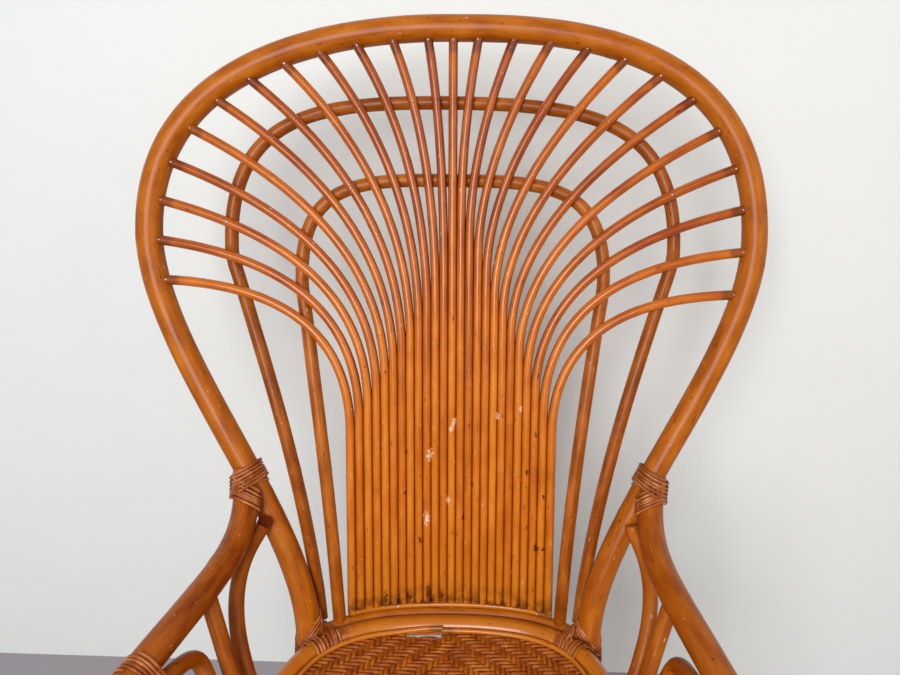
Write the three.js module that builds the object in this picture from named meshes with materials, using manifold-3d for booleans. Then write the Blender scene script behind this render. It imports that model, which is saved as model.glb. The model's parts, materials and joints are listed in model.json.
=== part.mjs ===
// A rattan peacock chair: a round hoop back filled with a fan of bent spindles, a woven seat in a bent
// ring, and arms that run down into the front legs. Millimetres, +Z up, the chair faces -Y.
import * as THREE from 'three';
import { mergeVertices } from 'three/addons/utils/BufferGeometryUtils.js';
import Module from 'manifold-3d';

const wasm = await Module();
wasm.setup();

// Fit between pieces that touch
const FIT_GAP = 0.3;
const STRAND_GAP = 0.6;
const CORNER_GAP = 1;

// Seat. Rises are measured upward from the centre line of the seat ring.
const SEAT_HEIGHT = 420;
const RING_POLE = 24;
const SEAT_SIDE_HALF = 206;
const SEAT_SIDE_FORWARD = 200;
const SEAT_DEPTH = 470;
const RING_SET = 8.5;
const RING_BACK_EASE = 190;
const RING_SIDE_EASE = 116;
const RING_FLANK_EASE = 160;
const RING_FRONT_EASE = 190;
const RING_FLARE = THREE.MathUtils.degToRad(16);
const WEAVE_THICKNESS = 4;
const WEAVE_DISH = 7;
const TRIM_POLE = 6;
const TRIM_OPENING = 3;
const BEARER_POLE = 20;
const REAR_BEARER = 160;
const FRONT_BEARER = 285;

// Back hoop and rear legs. The hoop is bent by hand: its crown is fuller on the right than on the left.
const HOOP_POLE = 30;
const HOOP_RISE = 721;
const HOOP_HALF_WIDTH = 361;
const HOOP_WIDE_RISE = 485;
const HOOP_SEAT_HALF = 174;
const HOOP_CROWN_EASE = 82;
const HOOP_SIDE_EASE = 236;
const HOOP_SKEW = 15;
const HOOP_WAIST_EASE = 143;
const BACK_LEAN = THREE.MathUtils.degToRad(12);
const REAR_FOOT_HALF = 205;
const REAR_FOOT_BACK = 40;
const REAR_LEG_EASE = 100;

// Rail behind the ring, foot strip and spindles. The skews are what the right side has more than the left.
const RAIL_POLE = 16;
const RAIL_LIFT = 3.3;
const STRIP_POLE = 7;
const SPINDLE_POLE = 10;
const SPINDLES_PER_SIDE = 12;
const SPINDLE_PITCH = 10.35;
const TIP_FIRST = 31.7;
const TIP_STEP_INNER = 44.1;
const TIP_STEP_OUTER = 50.7;
const TIP_SKEW = 1.8;
const TIP_FORWARD = 4;
const BEND_START_OUTER = 249;
const BEND_START_INNER = 463;
const BEND_SKEW = 40;
const BEND_TOP_OUTER = 435;
const BEND_TOP_INNER = 611;

// Arches behind the spindles
const ARCH_POLE = 16;
const LARGE_ARCH_RISE = 638;
const LARGE_ARCH_HALF = 269;
const LARGE_ARCH_WIDE_RISE = 468;
const LARGE_ARCH_CROWN_EASE = 163;
const LARGE_ARCH_SIDE_EASE = 156;
const LARGE_ARCH_FOOT_RISE = 31;
const LARGE_ARCH_FOOT_TURN = THREE.MathUtils.degToRad(20);
const SMALL_ARCH_RISE = 548;
const SMALL_ARCH_HALF = 185;
const SMALL_ARCH_WIDE_RISE = 432;
const SMALL_ARCH_FROM_STRIP = 2;
const SMALL_ARCH_CROWN_EASE = 111;
const SMALL_ARCH_SIDE_EASE = 116;
const ARCH_LEG_EASE = 30;
const ARCH_FOOT_EASE = 250;
const ARCH_SIDES = 8;

// Arms, front legs and the pieces that carry the arms
const ARM_POLE = 30;
const ARM_ROOT_RISE = 210;
const ARM_NECK_OUT = 53;
const ARM_NECK_HALF = HOOP_SEAT_HALF + ARM_NECK_OUT;
const ARM_NECK_FORWARD = 47;
const ARM_NECK_RISE = 127;
const ARM_KNEE_OUT = 96;
const ARM_KNEE_HALF = HOOP_SEAT_HALF + ARM_KNEE_OUT;
const ARM_KNEE_FORWARD = 266;
const ARM_KNEE_RISE = 124;
const ARM_KNEE_EASE = 154;
const ARM_FRONT_EASE = 85;
const ARM_FLARE = THREE.MathUtils.degToRad(13);
const ARM_DROP = THREE.MathUtils.degToRad(12);
const FRONT_LEG_ON_RING = 350;
const FRONT_LEG_EASE = 70;
const FRONT_LEG_STRAIGHT = 30;
const FRONT_FOOT_SPLAY = 14;
const SIDE_POLE = 17;
const BRACE_RISE = 151;
const BRACE_DROP = 20;
const BRACE_BELLY_OUT = 88;
const BRACE_BELLY_HALF = HOOP_SEAT_HALF + BRACE_BELLY_OUT;
const BRACE_BELLY_FORWARD = 104;
const BRACE_BELLY_RISE = 138;
const BRACE_ON_RING = 148;
const STRUT_ON_RING = 172;
const STRUT_ON_ARM = 135;
const LOOP_REAR_ON_RING = 196;
const LOOP_FRONT_ON_RING = 315;
const LOOP_TOP_RISE = 93;
const LOOP_TOP_OUT = 64.5;
const LOOP_TOP_HALF = HOOP_SEAT_HALF + LOOP_TOP_OUT;
const LOOP_TOP_FORWARD = 180;
const LOOP_ON_ARM_REAR = 225;
const LOOP_ON_ARM_FRONT = 255;
const ARM_TIE = 238;

// Stretchers, measured upward from the floor
const STRETCHER_POLE = 20;
const SIDE_STRETCHER_HEIGHT = 150;
const CROSS_STRETCHER_HEIGHT = 195;

// Bindings
const STRAND = 3;
const STRAND_PITCH = 3.7;
const STRAND_STEPS = 16;
const WAIST_LOOPS = 6;
const ARM_LOOPS = 5;
const CORNER_LOOPS = 4;
const FRONT_LOOPS = 4;
const CORNER_RISE = 2;

// Points along the bent runs
const RAIL_STEPS = 9;
const STRIP_STEPS = 7;
const TRIM_STEPS = 18;

const RING_RADIUS = RING_POLE / 2;
const HOOP_RADIUS = HOOP_POLE / 2;
const RAIL_RADIUS = RAIL_POLE / 2;
const ARCH_RADIUS = ARCH_POLE / 2;
const ARM_RADIUS = ARM_POLE / 2;
const SIDE_RADIUS = SIDE_POLE / 2;
const SPINDLE_RADIUS = SPINDLE_POLE / 2;
const LEAN_RUN = Math.tan(BACK_LEAN);
const UP = new THREE.Vector3(0, 0, 1);
const SIDEWAYS = new THREE.Vector3(1, 0, 0);
const FRONTWARD = new THREE.Vector3(0, -Math.cos(BACK_LEAN), Math.sin(BACK_LEAN));

const group = new THREE.Group();
group.name = 'peacock_chair';

function at(x, y, rise) {
  return new THREE.Vector3(x, y, rise + SEAT_HEIGHT);
}

function bend(a, b, c, d, steps) {
  return new THREE.CubicBezierCurve3(a, b, c, d).getPoints(steps);
}

function evenly(steps) {
  return Array.from({ length: steps + 1 }, (_, i) => i / steps);
}

function join(...runs) {
  return runs.flatMap((run, i) => (i ? run.slice(1) : run));
}

function mirrored(points) {
  return points.map((p) => new THREE.Vector3(-p.x, p.y, p.z));
}

function across(left, right) {
  return join([...left].reverse(), right);
}

function bothSides(half) {
  return across(mirrored(half), half);
}

function pole(points, radius, sides, reference, closed = false) {
  return { points, radius, sides, reference, closed };
}

// Sweeps a round pole along its points, a flat side of its section toward the reference direction.
function sweep({ points, radius, sides, reference, closed }, extra = 0) {
  const count = points.length;
  const positions = [];
  const index = [];
  points.forEach((p, i) => {
    const before = points[closed ? (i + count - 1) % count : Math.max(i - 1, 0)];
    const after = points[closed ? (i + 1) % count : Math.min(i + 1, count - 1)];
    const along = after.clone().sub(before).normalize();
    const front = reference.clone().addScaledVector(along, -reference.dot(along)).normalize();
    const side = along.clone().cross(front);
    for (let k = 0; k < sides; k += 1) {
      const turn = ((k + 0.5) / sides) * Math.PI * 2;
      const rim = p.clone().addScaledVector(front, Math.cos(turn) * (radius + extra));
      rim.addScaledVector(side, Math.sin(turn) * (radius + extra));
      positions.push(rim.x, rim.y, rim.z);
    }
  });
  const spans = closed ? count : count - 1;
  for (let i = 0; i < spans; i += 1) {
    const here = i * sides;
    const next = ((i + 1) % count) * sides;
    for (let k = 0; k < sides; k += 1) {
      const turn = (k + 1) % sides;
      index.push(here + k, here + turn, next + k);
      index.push(here + turn, next + turn, next + k);
    }
  }
  if (!closed) {
    const last = (count - 1) * sides;
    for (let k = 1; k < sides - 1; k += 1) {
      index.push(0, k + 1, k);
      index.push(last, last + k, last + k + 1);
    }
  }
  const geometry = new THREE.BufferGeometry();
  geometry.setAttribute('position', new THREE.Float32BufferAttribute(positions, 3));
  geometry.setIndex(index);
  return geometry;
}

// Distance from a pole's middle to the flats of its section
function flatOf(radius, sides) {
  return radius * Math.cos(Math.PI / sides);
}

function solid(geometry) {
  const bare = geometry.clone();
  bare.deleteAttribute('normal');
  bare.deleteAttribute('uv');
  const welded = mergeVertices(bare, 1e-5);
  const mesh = new wasm.Mesh({
    numProp: 3,
    vertProperties: new Float32Array(welded.attributes.position.array),
    triVerts: new Uint32Array(welded.index.array),
  });
  return new wasm.Manifold(mesh);
}

function shell(manifold) {
  const mesh = manifold.getMesh();
  const geometry = new THREE.BufferGeometry();
  geometry.setAttribute('position', new THREE.BufferAttribute(new Float32Array(mesh.vertProperties), 3));
  geometry.setIndex(Array.from(mesh.triVerts));
  return geometry;
}

// Cuts a pole back where it meets other poles, leaving the fit gap, and keeps the largest remaining piece.
function coped(part, neighbours) {
  let body = solid(sweep(part));
  neighbours.forEach((other) => {
    const cutter = other.isBufferGeometry ? other : sweep(other, FIT_GAP);
    body = body.subtract(solid(cutter));
  });
  const pieces = body.decompose();
  pieces.sort((a, b) => b.volume() - a.volume());
  return shell(pieces[0]);
}

function below(height) {
  const size = 4 * (SEAT_HEIGHT + HOOP_RISE);
  const box = new THREE.BoxGeometry(size, size, size);
  return box.translate(0, 0, height - size / 2);
}

const FLOOR = below(0);

const RATTAN = 0xb5651d;
const BENT_RATTAN = 0xa85a1a;
const PEEL = 0x8a4a1f;
const WEAVE = 0x8f5a24;

function add(name, geometry, colour) {
  const finished = mergeVertices(geometry.clone(), 1e-5);
  finished.computeVertexNormals();
  const material = new THREE.MeshStandardMaterial({ color: colour, roughness: 0.45, metalness: 0 });
  const mesh = new THREE.Mesh(finished, material);
  mesh.name = name;
  group.add(mesh);
}

function flipped(geometry) {
  const copy = geometry.clone();
  copy.scale(-1, 1, 1);
  const index = Array.from(copy.index.array);
  for (let i = 0; i < index.length; i += 3) {
    [index[i], index[i + 1]] = [index[i + 1], index[i]];
  }
  copy.setIndex(index);
  return copy;
}

function addPair(name, geometry, colour) {
  add(`${name}_right`, geometry, colour);
  add(`${name}_left`, flipped(geometry), colour);
}

// Seat ring: a gentle back, rounded rear corners, sides that widen forward and a round front
const ringSide = at(SEAT_SIDE_HALF, -SEAT_SIDE_FORWARD, 0);
const sideHeading = new THREE.Vector3(Math.sin(RING_FLARE), -Math.cos(RING_FLARE), 0);
const ringRear = new THREE.CubicBezierCurve3(
  at(0, -RING_SET, 0),
  at(RING_BACK_EASE, -RING_SET, 0),
  ringSide.clone().addScaledVector(sideHeading, -RING_SIDE_EASE),
  ringSide,
);
const ringFront = new THREE.CubicBezierCurve3(
  ringSide,
  ringSide.clone().addScaledVector(sideHeading, RING_FLANK_EASE),
  at(RING_FRONT_EASE, -SEAT_DEPTH, 0),
  at(0, -SEAT_DEPTH, 0),
);
const ringHalf = join(ringRear.getPoints(13), ringFront.getPoints(12));
const ringLoop = join(ringHalf, mirrored(ringHalf).reverse()).slice(0, -1);
const ring = pole(ringLoop, RING_RADIUS, 10, UP, true);

function outward(curve, t) {
  const along = curve.getTangent(t);
  return new THREE.Vector3(-along.y, along.x, 0);
}

// Finds where a run reaches a given distance forward of the seat's rear line.
function forwardOn(curve, distance) {
  let low = 0;
  let high = 1;
  for (let i = 0; i < 40; i += 1) {
    const middle = (low + high) / 2;
    if (-curve.getPoint(middle).y < distance) low = middle;
    else high = middle;
  }
  return low;
}

function onRing(distance) {
  const curve = distance < SEAT_SIDE_FORWARD ? ringRear : ringFront;
  return curve.getPoint(forwardOn(curve, distance));
}

// The rear legs touch the ring from outside: their distance from it sets how far back the hoop stands.
function legDepth() {
  const reach = (HOOP_RADIUS + RING_RADIUS + FIT_GAP) / Math.cos(BACK_LEAN);
  let depth = -SEAT_SIDE_FORWARD;
  ringRear.getPoints(400).forEach((p) => {
    const across = HOOP_SEAT_HALF - p.x;
    if (Math.abs(across) < reach) depth = Math.max(depth, p.y + Math.sqrt(reach * reach - across * across));
  });
  return depth;
}

const HOOP_DEPTH = legDepth();

function leaning(x, rise, behind = 0) {
  return at(x, HOOP_DEPTH + rise * LEAN_RUN + behind, rise);
}

// Where the ring touches a rear leg
function cornerPlace() {
  const leg = leaning(HOOP_SEAT_HALF, 0);
  const away = (t) => ringRear.getPoint(t).distanceTo(leg);
  return evenly(400).reduce((best, t) => (away(t) < away(best) ? t : best), 0);
}

const cornerAt = cornerPlace();
const cornerContact = ringRear.getPoint(cornerAt);

// Outer hoop and rear legs in one bent pole. A side is 1 for right and -1 for left.
function crownOf(side) {
  return new THREE.CubicBezierCurve3(
    leaning(0, HOOP_RISE),
    leaning(side * HOOP_CROWN_EASE, HOOP_RISE),
    leaning(side * HOOP_HALF_WIDTH, HOOP_WIDE_RISE + HOOP_SIDE_EASE + side * HOOP_SKEW),
    leaning(side * HOOP_HALF_WIDTH, HOOP_WIDE_RISE),
  );
}
const hoopWaist = new THREE.CubicBezierCurve3(
  leaning(HOOP_HALF_WIDTH, HOOP_WIDE_RISE),
  leaning(HOOP_HALF_WIDTH, HOOP_WIDE_RISE - HOOP_WAIST_EASE),
  leaning(HOOP_SEAT_HALF, HOOP_WAIST_EASE),
  leaning(HOOP_SEAT_HALF, 0),
);
const rearFoot = at(REAR_FOOT_HALF, REAR_FOOT_BACK, -SEAT_HEIGHT);
const rearLeg = new THREE.CubicBezierCurve3(
  leaning(HOOP_SEAT_HALF, 0),
  leaning(HOOP_SEAT_HALF, -REAR_LEG_EASE),
  rearFoot.clone().add(new THREE.Vector3(0, -REAR_FOOT_BACK / 2, REAR_LEG_EASE)),
  rearFoot.clone().add(new THREE.Vector3(0, 0, -HOOP_RADIUS)),
);
const hoopLow = join(hoopWaist.getPoints(13), rearLeg.getPoints(8));
const hoopRight = join(crownOf(1).getPoints(11), hoopLow);
const hoopLeft = join(crownOf(-1).getPoints(11), mirrored(hoopLow));
const hoop = pole(across(hoopLeft, hoopRight), HOOP_RADIUS, 10, FRONTWARD);

function onWaist(rise) {
  let low = 0;
  let high = 1;
  for (let i = 0; i < 40; i += 1) {
    const middle = (low + high) / 2;
    if (hoopWaist.getPoint(middle).z - SEAT_HEIGHT > rise) low = middle;
    else high = middle;
  }
  return hoopWaist.getPoint(low);
}

// Rail behind the ring, between the rear legs
const railReach = RING_RADIUS + RAIL_RADIUS + FIT_GAP;
const railSpread = Math.sqrt(railReach * railReach - RAIL_LIFT * RAIL_LIFT);
function railPoint(t) {
  const spot = ringRear.getPoint(t).addScaledVector(outward(ringRear, t), railSpread);
  return spot.setZ(SEAT_HEIGHT + RAIL_LIFT);
}
function railPlace(half) {
  let low = 0;
  let high = 1;
  for (let i = 0; i < 40; i += 1) {
    const middle = (low + high) / 2;
    if (railPoint(middle).x < half) low = middle;
    else high = middle;
  }
  return low;
}
function railAt(half) {
  return railPoint(railPlace(half));
}
const railEnd = railPlace(HOOP_SEAT_HALF);
const railHalf = evenly(RAIL_STEPS).map((share) => railPoint(share * railEnd));
const rail = pole(bothSides(railHalf), RAIL_RADIUS, 8, UP);

// Foot strip on the rail, as wide as the spindle feet
const stripRise = RAIL_LIFT + RAIL_RADIUS + STRIP_POLE / 2 + FIT_GAP;
const stripReach = SPINDLES_PER_SIDE * SPINDLE_PITCH + SPINDLE_RADIUS;
const stripHalf = evenly(STRIP_STEPS).map((share) => railAt(share * stripReach));
stripHalf.forEach((p) => p.setZ(SEAT_HEIGHT + stripRise));
const strip = pole(bothSides(stripHalf), STRIP_POLE / 2, 8, UP);
const spindleFoot = stripRise + STRIP_POLE / 2 + FIT_GAP;

// Spindles: straight from the strip, then bent outward to places on the hoop that grow apart down its sides.
// Places count from the middle spindle, to the right upward and to the left downward.
function onHoop(distance, side) {
  const crown = crownOf(side);
  const crownLength = crown.getLength();
  if (distance < crownLength) return crown.getPointAt(distance / crownLength);
  const low = hoopWaist.getPointAt((distance - crownLength) / hoopWaist.getLength());
  return low.setX(side * low.x);
}

function tipOf(place) {
  const side = Math.sign(place);
  if (side === 0) return onHoop(0, 1);
  const steps = Math.abs(place) - 1;
  const growth = (TIP_STEP_OUTER + side * TIP_SKEW - TIP_STEP_INNER) / (SPINDLES_PER_SIDE - 2);
  return onHoop(TIP_FIRST + steps * TIP_STEP_INNER + (growth * steps * (steps - 1)) / 2, side);
}

function spindlePath(place) {
  const half = place * SPINDLE_PITCH;
  const share = (SPINDLES_PER_SIDE - Math.abs(place)) / (SPINDLES_PER_SIDE - 1);
  const startInner = BEND_START_INNER + Math.sign(place) * BEND_SKEW;
  const bendStart = THREE.MathUtils.lerp(BEND_START_OUTER, startInner, share);
  const bendTop = THREE.MathUtils.lerp(BEND_TOP_OUTER, BEND_TOP_INNER, share);
  const tip = tipOf(place);
  const tipRise = tip.z - SEAT_HEIGHT;
  const flat = [];
  flat.push(new THREE.Vector2(half, spindleFoot - SPINDLE_RADIUS));
  if (place) {
    const start = new THREE.Vector2(half, Math.min(bendStart, tipRise - SPINDLE_POLE));
    const top = new THREE.Vector2(half, Math.min(bendTop, tipRise - SPINDLE_RADIUS));
    flat.push(new THREE.Vector2(half, (spindleFoot + start.y) / 2));
    const end = new THREE.Vector2(tip.x, tipRise);
    flat.push(...new THREE.QuadraticBezierCurve(start, top, end).getPoints(8));
  } else {
    flat.push(new THREE.Vector2(0, tipRise / 3));
    flat.push(new THREE.Vector2(0, (tipRise * 2) / 3));
    flat.push(new THREE.Vector2(0, tipRise));
  }
  const run = [0];
  flat.slice(1).forEach((p, i) => run.push(run[i] + p.distanceTo(flat[i])));
  const total = run[run.length - 1];
  const footDepth = railAt(Math.abs(half)).y - leaning(half, spindleFoot).y;
  return flat.map((p, i) => {
    const gone = run[i] / total;
    return leaning(p.x, p.y, footDepth * (1 - gone) - TIP_FORWARD * gone);
  });
}

const spindles = [];
for (let place = -SPINDLES_PER_SIDE; place <= SPINDLES_PER_SIDE; place += 1) {
  spindles.push(pole(spindlePath(place), SPINDLE_RADIUS, 6, FRONTWARD));
}

// Where two runs cross when seen from the front: the place along the first and the point on the second.
function crossing(first, second) {
  for (let i = 0; i + 1 < first.length; i += 1) {
    const a = first[i];
    const ab = first[i + 1].clone().sub(a);
    for (let j = 0; j + 1 < second.length; j += 1) {
      const c = second[j];
      const cd = second[j + 1].clone().sub(c);
      const turn = ab.x * cd.z - ab.z * cd.x;
      if (Math.abs(turn) > 1e-9) {
        const s = ((c.x - a.x) * cd.z - (c.z - a.z) * cd.x) / turn;
        const t = ((c.x - a.x) * ab.z - (c.z - a.z) * ab.x) / turn;
        if (s >= 0 && s < 1 && t >= 0 && t < 1) {
          return { place: i + s, point: c.clone().addScaledVector(cd, t) };
        }
      }
    }
  }
  return null;
}

// Lays an arch against the back of every spindle that it crosses; its legs run on to their feet.
const archSet = (SPINDLE_RADIUS + ARCH_RADIUS + 2 * FIT_GAP) / Math.cos(BACK_LEAN);
function laidBehind(flat, footDepth) {
  const knots = [];
  spindles.forEach((spindle) => {
    const hit = crossing(flat, spindle.points);
    if (hit) knots.push({ place: hit.place, depth: hit.point.y + archSet });
  });
  knots.sort((a, b) => a.place - b.place);
  const last = knots[knots.length - 1];
  knots.push({ place: last.place + 0.4, depth: last.depth + FIT_GAP });
  knots.push({ place: flat.length - 1, depth: footDepth });
  return flat.map((p, i) => {
    const next = Math.max(knots.findIndex((k) => k.place >= i), 1);
    const from = knots[next - 1];
    const to = knots[next];
    const share = THREE.MathUtils.clamp((i - from.place) / (to.place - from.place), 0, 1);
    return new THREE.Vector3(p.x, THREE.MathUtils.lerp(from.depth, to.depth, share), p.z);
  });
}

function archHalf(side, rise, half, wideRise, crownEase, sideEase, foot, footLean) {
  const wide = leaning(side * half, wideRise);
  const base = foot.clone().setX(side * foot.x);
  const lowEase = new THREE.Vector3(side * footLean, 0, 1).normalize().multiplyScalar(ARCH_FOOT_EASE);
  const crown = bend(
    leaning(0, rise),
    leaning(side * crownEase, rise),
    leaning(side * half, wideRise + sideEase),
    wide,
    10,
  );
  const leg = bend(wide, leaning(side * half, wideRise - ARCH_LEG_EASE), base.clone().add(lowEase), base, 10);
  return laidBehind(join(crown, leg), foot.y);
}

function archPole(...sizes) {
  return pole(across(archHalf(-1, ...sizes), archHalf(1, ...sizes)), ARCH_RADIUS, ARCH_SIDES, FRONTWARD);
}

// The large arch ends on the inner back of the hoop's leg, the small one stands on the rail.
const hugging = flatOf(HOOP_RADIUS, hoop.sides) + flatOf(ARCH_RADIUS, ARCH_SIDES);
const largeFoot = leaning(
  HOOP_SEAT_HALF - hugging * Math.sin(LARGE_ARCH_FOOT_TURN),
  LARGE_ARCH_FOOT_RISE,
  (hugging * Math.cos(LARGE_ARCH_FOOT_TURN)) / Math.cos(BACK_LEAN),
);
const smallFoot = railAt(stripReach + SMALL_ARCH_FROM_STRIP + ARCH_RADIUS);
const largeArch = archPole(
  LARGE_ARCH_RISE,
  LARGE_ARCH_HALF,
  LARGE_ARCH_WIDE_RISE,
  LARGE_ARCH_CROWN_EASE,
  LARGE_ARCH_SIDE_EASE,
  largeFoot,
  0.11,
);
const smallArch = archPole(
  SMALL_ARCH_RISE,
  SMALL_ARCH_HALF,
  SMALL_ARCH_WIDE_RISE,
  SMALL_ARCH_CROWN_EASE,
  SMALL_ARCH_SIDE_EASE,
  smallFoot,
  0.05,
);

// Arms: from the front of the hoop's waist, out over the seat's side and down as the front legs
const armRoot = onWaist(ARM_ROOT_RISE);
const armKnee = at(ARM_KNEE_HALF, -ARM_KNEE_FORWARD, ARM_KNEE_RISE);
const armHeading = new THREE.Vector3(
  Math.sin(ARM_FLARE) * Math.cos(ARM_DROP),
  -Math.cos(ARM_FLARE) * Math.cos(ARM_DROP),
  -Math.sin(ARM_DROP),
);
const legPlace = forwardOn(ringFront, FRONT_LEG_ON_RING);
const legContact = ringFront.getPoint(legPlace);
const legSide = outward(ringFront, legPlace);
const legAtRing = legContact.clone().addScaledVector(legSide, RING_RADIUS + ARM_RADIUS + 2 * FIT_GAP);
const frontFoot = legAtRing.clone().addScaledVector(legSide, FRONT_FOOT_SPLAY).setZ(0);
const legRun = legAtRing.clone().sub(frontFoot).normalize();
const legTop = legAtRing.clone().addScaledVector(legRun, FRONT_LEG_STRAIGHT);
const armUpper = new THREE.CubicBezierCurve3(
  armRoot,
  at(ARM_NECK_HALF, -ARM_NECK_FORWARD, ARM_NECK_RISE),
  armKnee.clone().addScaledVector(armHeading, -ARM_KNEE_EASE),
  armKnee,
);
const armLower = new THREE.CubicBezierCurve3(
  armKnee,
  armKnee.clone().addScaledVector(armHeading, ARM_FRONT_EASE),
  legTop.clone().addScaledVector(legRun, FRONT_LEG_EASE),
  legTop,
);
const frontLeg = [legTop, frontFoot.clone().addScaledVector(legRun, -ARM_RADIUS)];
const armPath = join(armUpper.getPoints(9), armLower.getPoints(9), frontLeg);
const arm = pole(armPath, ARM_RADIUS, 10, SIDEWAYS);

// A place along the arm, by its distance forward of the seat's rear line
function onArm(forward) {
  const curve = forward < ARM_KNEE_FORWARD ? armUpper : armLower;
  const t = forwardOn(curve, forward);
  return { spot: curve.getPoint(t), along: curve.getTangent(t) };
}

// C-shaped brace: its upper end lies against the hoop's front, then it bows outward down to the ring
const braceTop = onWaist(BRACE_RISE);
braceTop.addScaledVector(FRONTWARD, HOOP_RADIUS + SIDE_RADIUS + FIT_GAP);
const braceNeck = braceTop.clone().addScaledVector(UP, -BRACE_DROP);
const braceBelly = at(BRACE_BELLY_HALF, -BRACE_BELLY_FORWARD, BRACE_BELLY_RISE);
const braceRun = bend(braceTop, braceNeck, braceBelly, onRing(BRACE_ON_RING), 12);
const brace = pole(braceRun, SIDE_RADIUS, 8, SIDEWAYS);

// Strut from ring to arm
const strut = pole([onRing(STRUT_ON_RING), onArm(STRUT_ON_ARM).spot], SIDE_RADIUS, 8, SIDEWAYS);

// Hairpin loop: up from the ring, round its top, along the underside of the arm and down to the ring again
const loopUnder = ARM_RADIUS + SIDE_RADIUS + 3 * FIT_GAP;
function underArm(forward) {
  const { spot, along } = onArm(forward);
  const inward = new THREE.Vector3(-1, 0, -1);
  inward.addScaledVector(along, -inward.dot(along)).normalize();
  return spot.addScaledVector(inward, loopUnder);
}
const loopRear = onRing(LOOP_REAR_ON_RING);
const loopTop = at(LOOP_TOP_HALF, -LOOP_TOP_FORWARD, LOOP_TOP_RISE);
const loopMiddle = loopRear.clone().lerp(loopTop, 0.5);
loopMiddle.z += LOOP_TOP_RISE * 0.12;
const loopFront = onRing(LOOP_FRONT_ON_RING);
const loopDown = loopFront.clone().lerp(underArm(LOOP_ON_ARM_FRONT), 0.4);
const loopCurve = new THREE.CatmullRomCurve3([
  loopRear,
  loopMiddle,
  loopTop,
  underArm(LOOP_ON_ARM_REAR),
  underArm((LOOP_ON_ARM_REAR + LOOP_ON_ARM_FRONT) / 2),
  underArm(LOOP_ON_ARM_FRONT),
  loopDown,
  loopFront,
]);
const armLoop = pole(loopCurve.getPoints(24), SIDE_RADIUS, 8, SIDEWAYS);

// Bindings: one strand wound round two poles, in parallel slanted turns
function sectionAt(part, centre, normal, offset) {
  let best = null;
  part.points.slice(1).forEach((b, i) => {
    const a = part.points[i];
    const da = a.clone().sub(centre).dot(normal) - offset;
    const db = b.clone().sub(centre).dot(normal) - offset;
    if (da * db <= 0 && da !== db) {
      const spot = a.clone().lerp(b, da / (da - db));
      const away = spot.distanceTo(centre);
      const near = away < part.radius * 4;
      if (near && (!best || away < best.away)) best = { spot, away, along: b.clone().sub(a).normalize() };
    }
  });
  return best;
}

function winding(first, second, centre, normal, aside, turns, gap = STRAND_GAP) {
  const points = [];
  const steps = turns * STRAND_STEPS;
  const across = aside.clone().addScaledVector(normal, -aside.dot(normal)).normalize();
  for (let i = 0; i <= steps; i += 1) {
    const offset = (i / STRAND_STEPS - turns / 2) * STRAND_PITCH;
    const cuts = [first, second].map((part) => ({ part, cut: sectionAt(part, centre, normal, offset) }));
    const met = cuts.filter(({ cut }) => cut);
    const upward = normal.clone().cross(across);
    const angle = (i / STRAND_STEPS) * Math.PI * 2;
    const toward = across.clone().multiplyScalar(Math.cos(angle)).addScaledVector(upward, Math.sin(angle));
    let reach = -Infinity;
    let place = null;
    met.forEach(({ part, cut }) => {
      const stretch = 1 / Math.abs(cut.along.dot(normal));
      const widen = 1 / Math.cos((Math.PI / STRAND_STEPS) * stretch);
      const minor = (part.radius + STRAND / 2 + gap) * widen;
      const major = minor * stretch;
      const long = cut.along.clone().addScaledVector(normal, -cut.along.dot(normal));
      if (long.length() < 1e-6) long.copy(across);
      long.normalize();
      const short = normal.clone().cross(long);
      const p = toward.dot(long);
      const q = toward.dot(short);
      const size = Math.hypot(major * p, minor * q);
      const value = cut.spot.dot(toward) + size;
      if (value > reach) {
        reach = value;
        place = cut.spot.clone().addScaledVector(long, (major * major * p) / size);
        place.addScaledVector(short, (minor * minor * q) / size);
      }
    });
    points.push(place);
  }
  return pole(points, STRAND / 2, 4, normal);
}

// Least free distance between the turns of one strand, over points along it
function leastGap(part) {
  const dense = part.points.slice(1).flatMap((next, i) => {
    const before = part.points[i];
    return [0, 0.25, 0.5, 0.75].map((t) => before.clone().lerp(next, t));
  });
  let least = Infinity;
  dense.forEach((p, i) => {
    dense.slice(i + STRAND_STEPS * 2).forEach((q) => {
      least = Math.min(least, p.distanceTo(q));
    });
  });
  return least - part.radius * 2;
}

function slanted(along, aside, angle) {
  return along.clone().multiplyScalar(Math.cos(angle)).addScaledVector(aside, Math.sin(angle)).normalize();
}

const waistAlong = onWaist(ARM_ROOT_RISE + 1).sub(onWaist(ARM_ROOT_RISE - 1)).normalize();
const armAlong = armUpper.getTangent(0);
const armThrough = [armRoot.clone().addScaledVector(armAlong, -HOOP_POLE), ...armPath];
const waistBinding = winding(
  hoop,
  pole(armThrough, ARM_RADIUS, 10, SIDEWAYS),
  armRoot.clone().addScaledVector(armAlong, HOOP_RADIUS),
  slanted(waistAlong, armAlong, -Math.PI / 4),
  armAlong,
  WAIST_LOOPS,
);
const armTie = onArm(ARM_TIE);
const armBinding = winding(arm, armLoop, armTie.spot, armTie.along, UP, ARM_LOOPS);
const cornerMiddle = leaning(HOOP_SEAT_HALF, CORNER_RISE).lerp(cornerContact, 0.5);
const cornerBinding = winding(
  hoop,
  ring,
  cornerMiddle.setZ(SEAT_HEIGHT + CORNER_RISE),
  slanted(UP, ringRear.getTangent(cornerAt), Math.PI / 4),
  outward(ringRear, cornerAt),
  CORNER_LOOPS,
  CORNER_GAP,
);
const frontBinding = winding(
  arm,
  ring,
  legAtRing.clone().lerp(legContact, 0.5),
  slanted(UP, ringFront.getTangent(legPlace), Math.PI / 4),
  legSide,
  FRONT_LOOPS,
);

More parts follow.
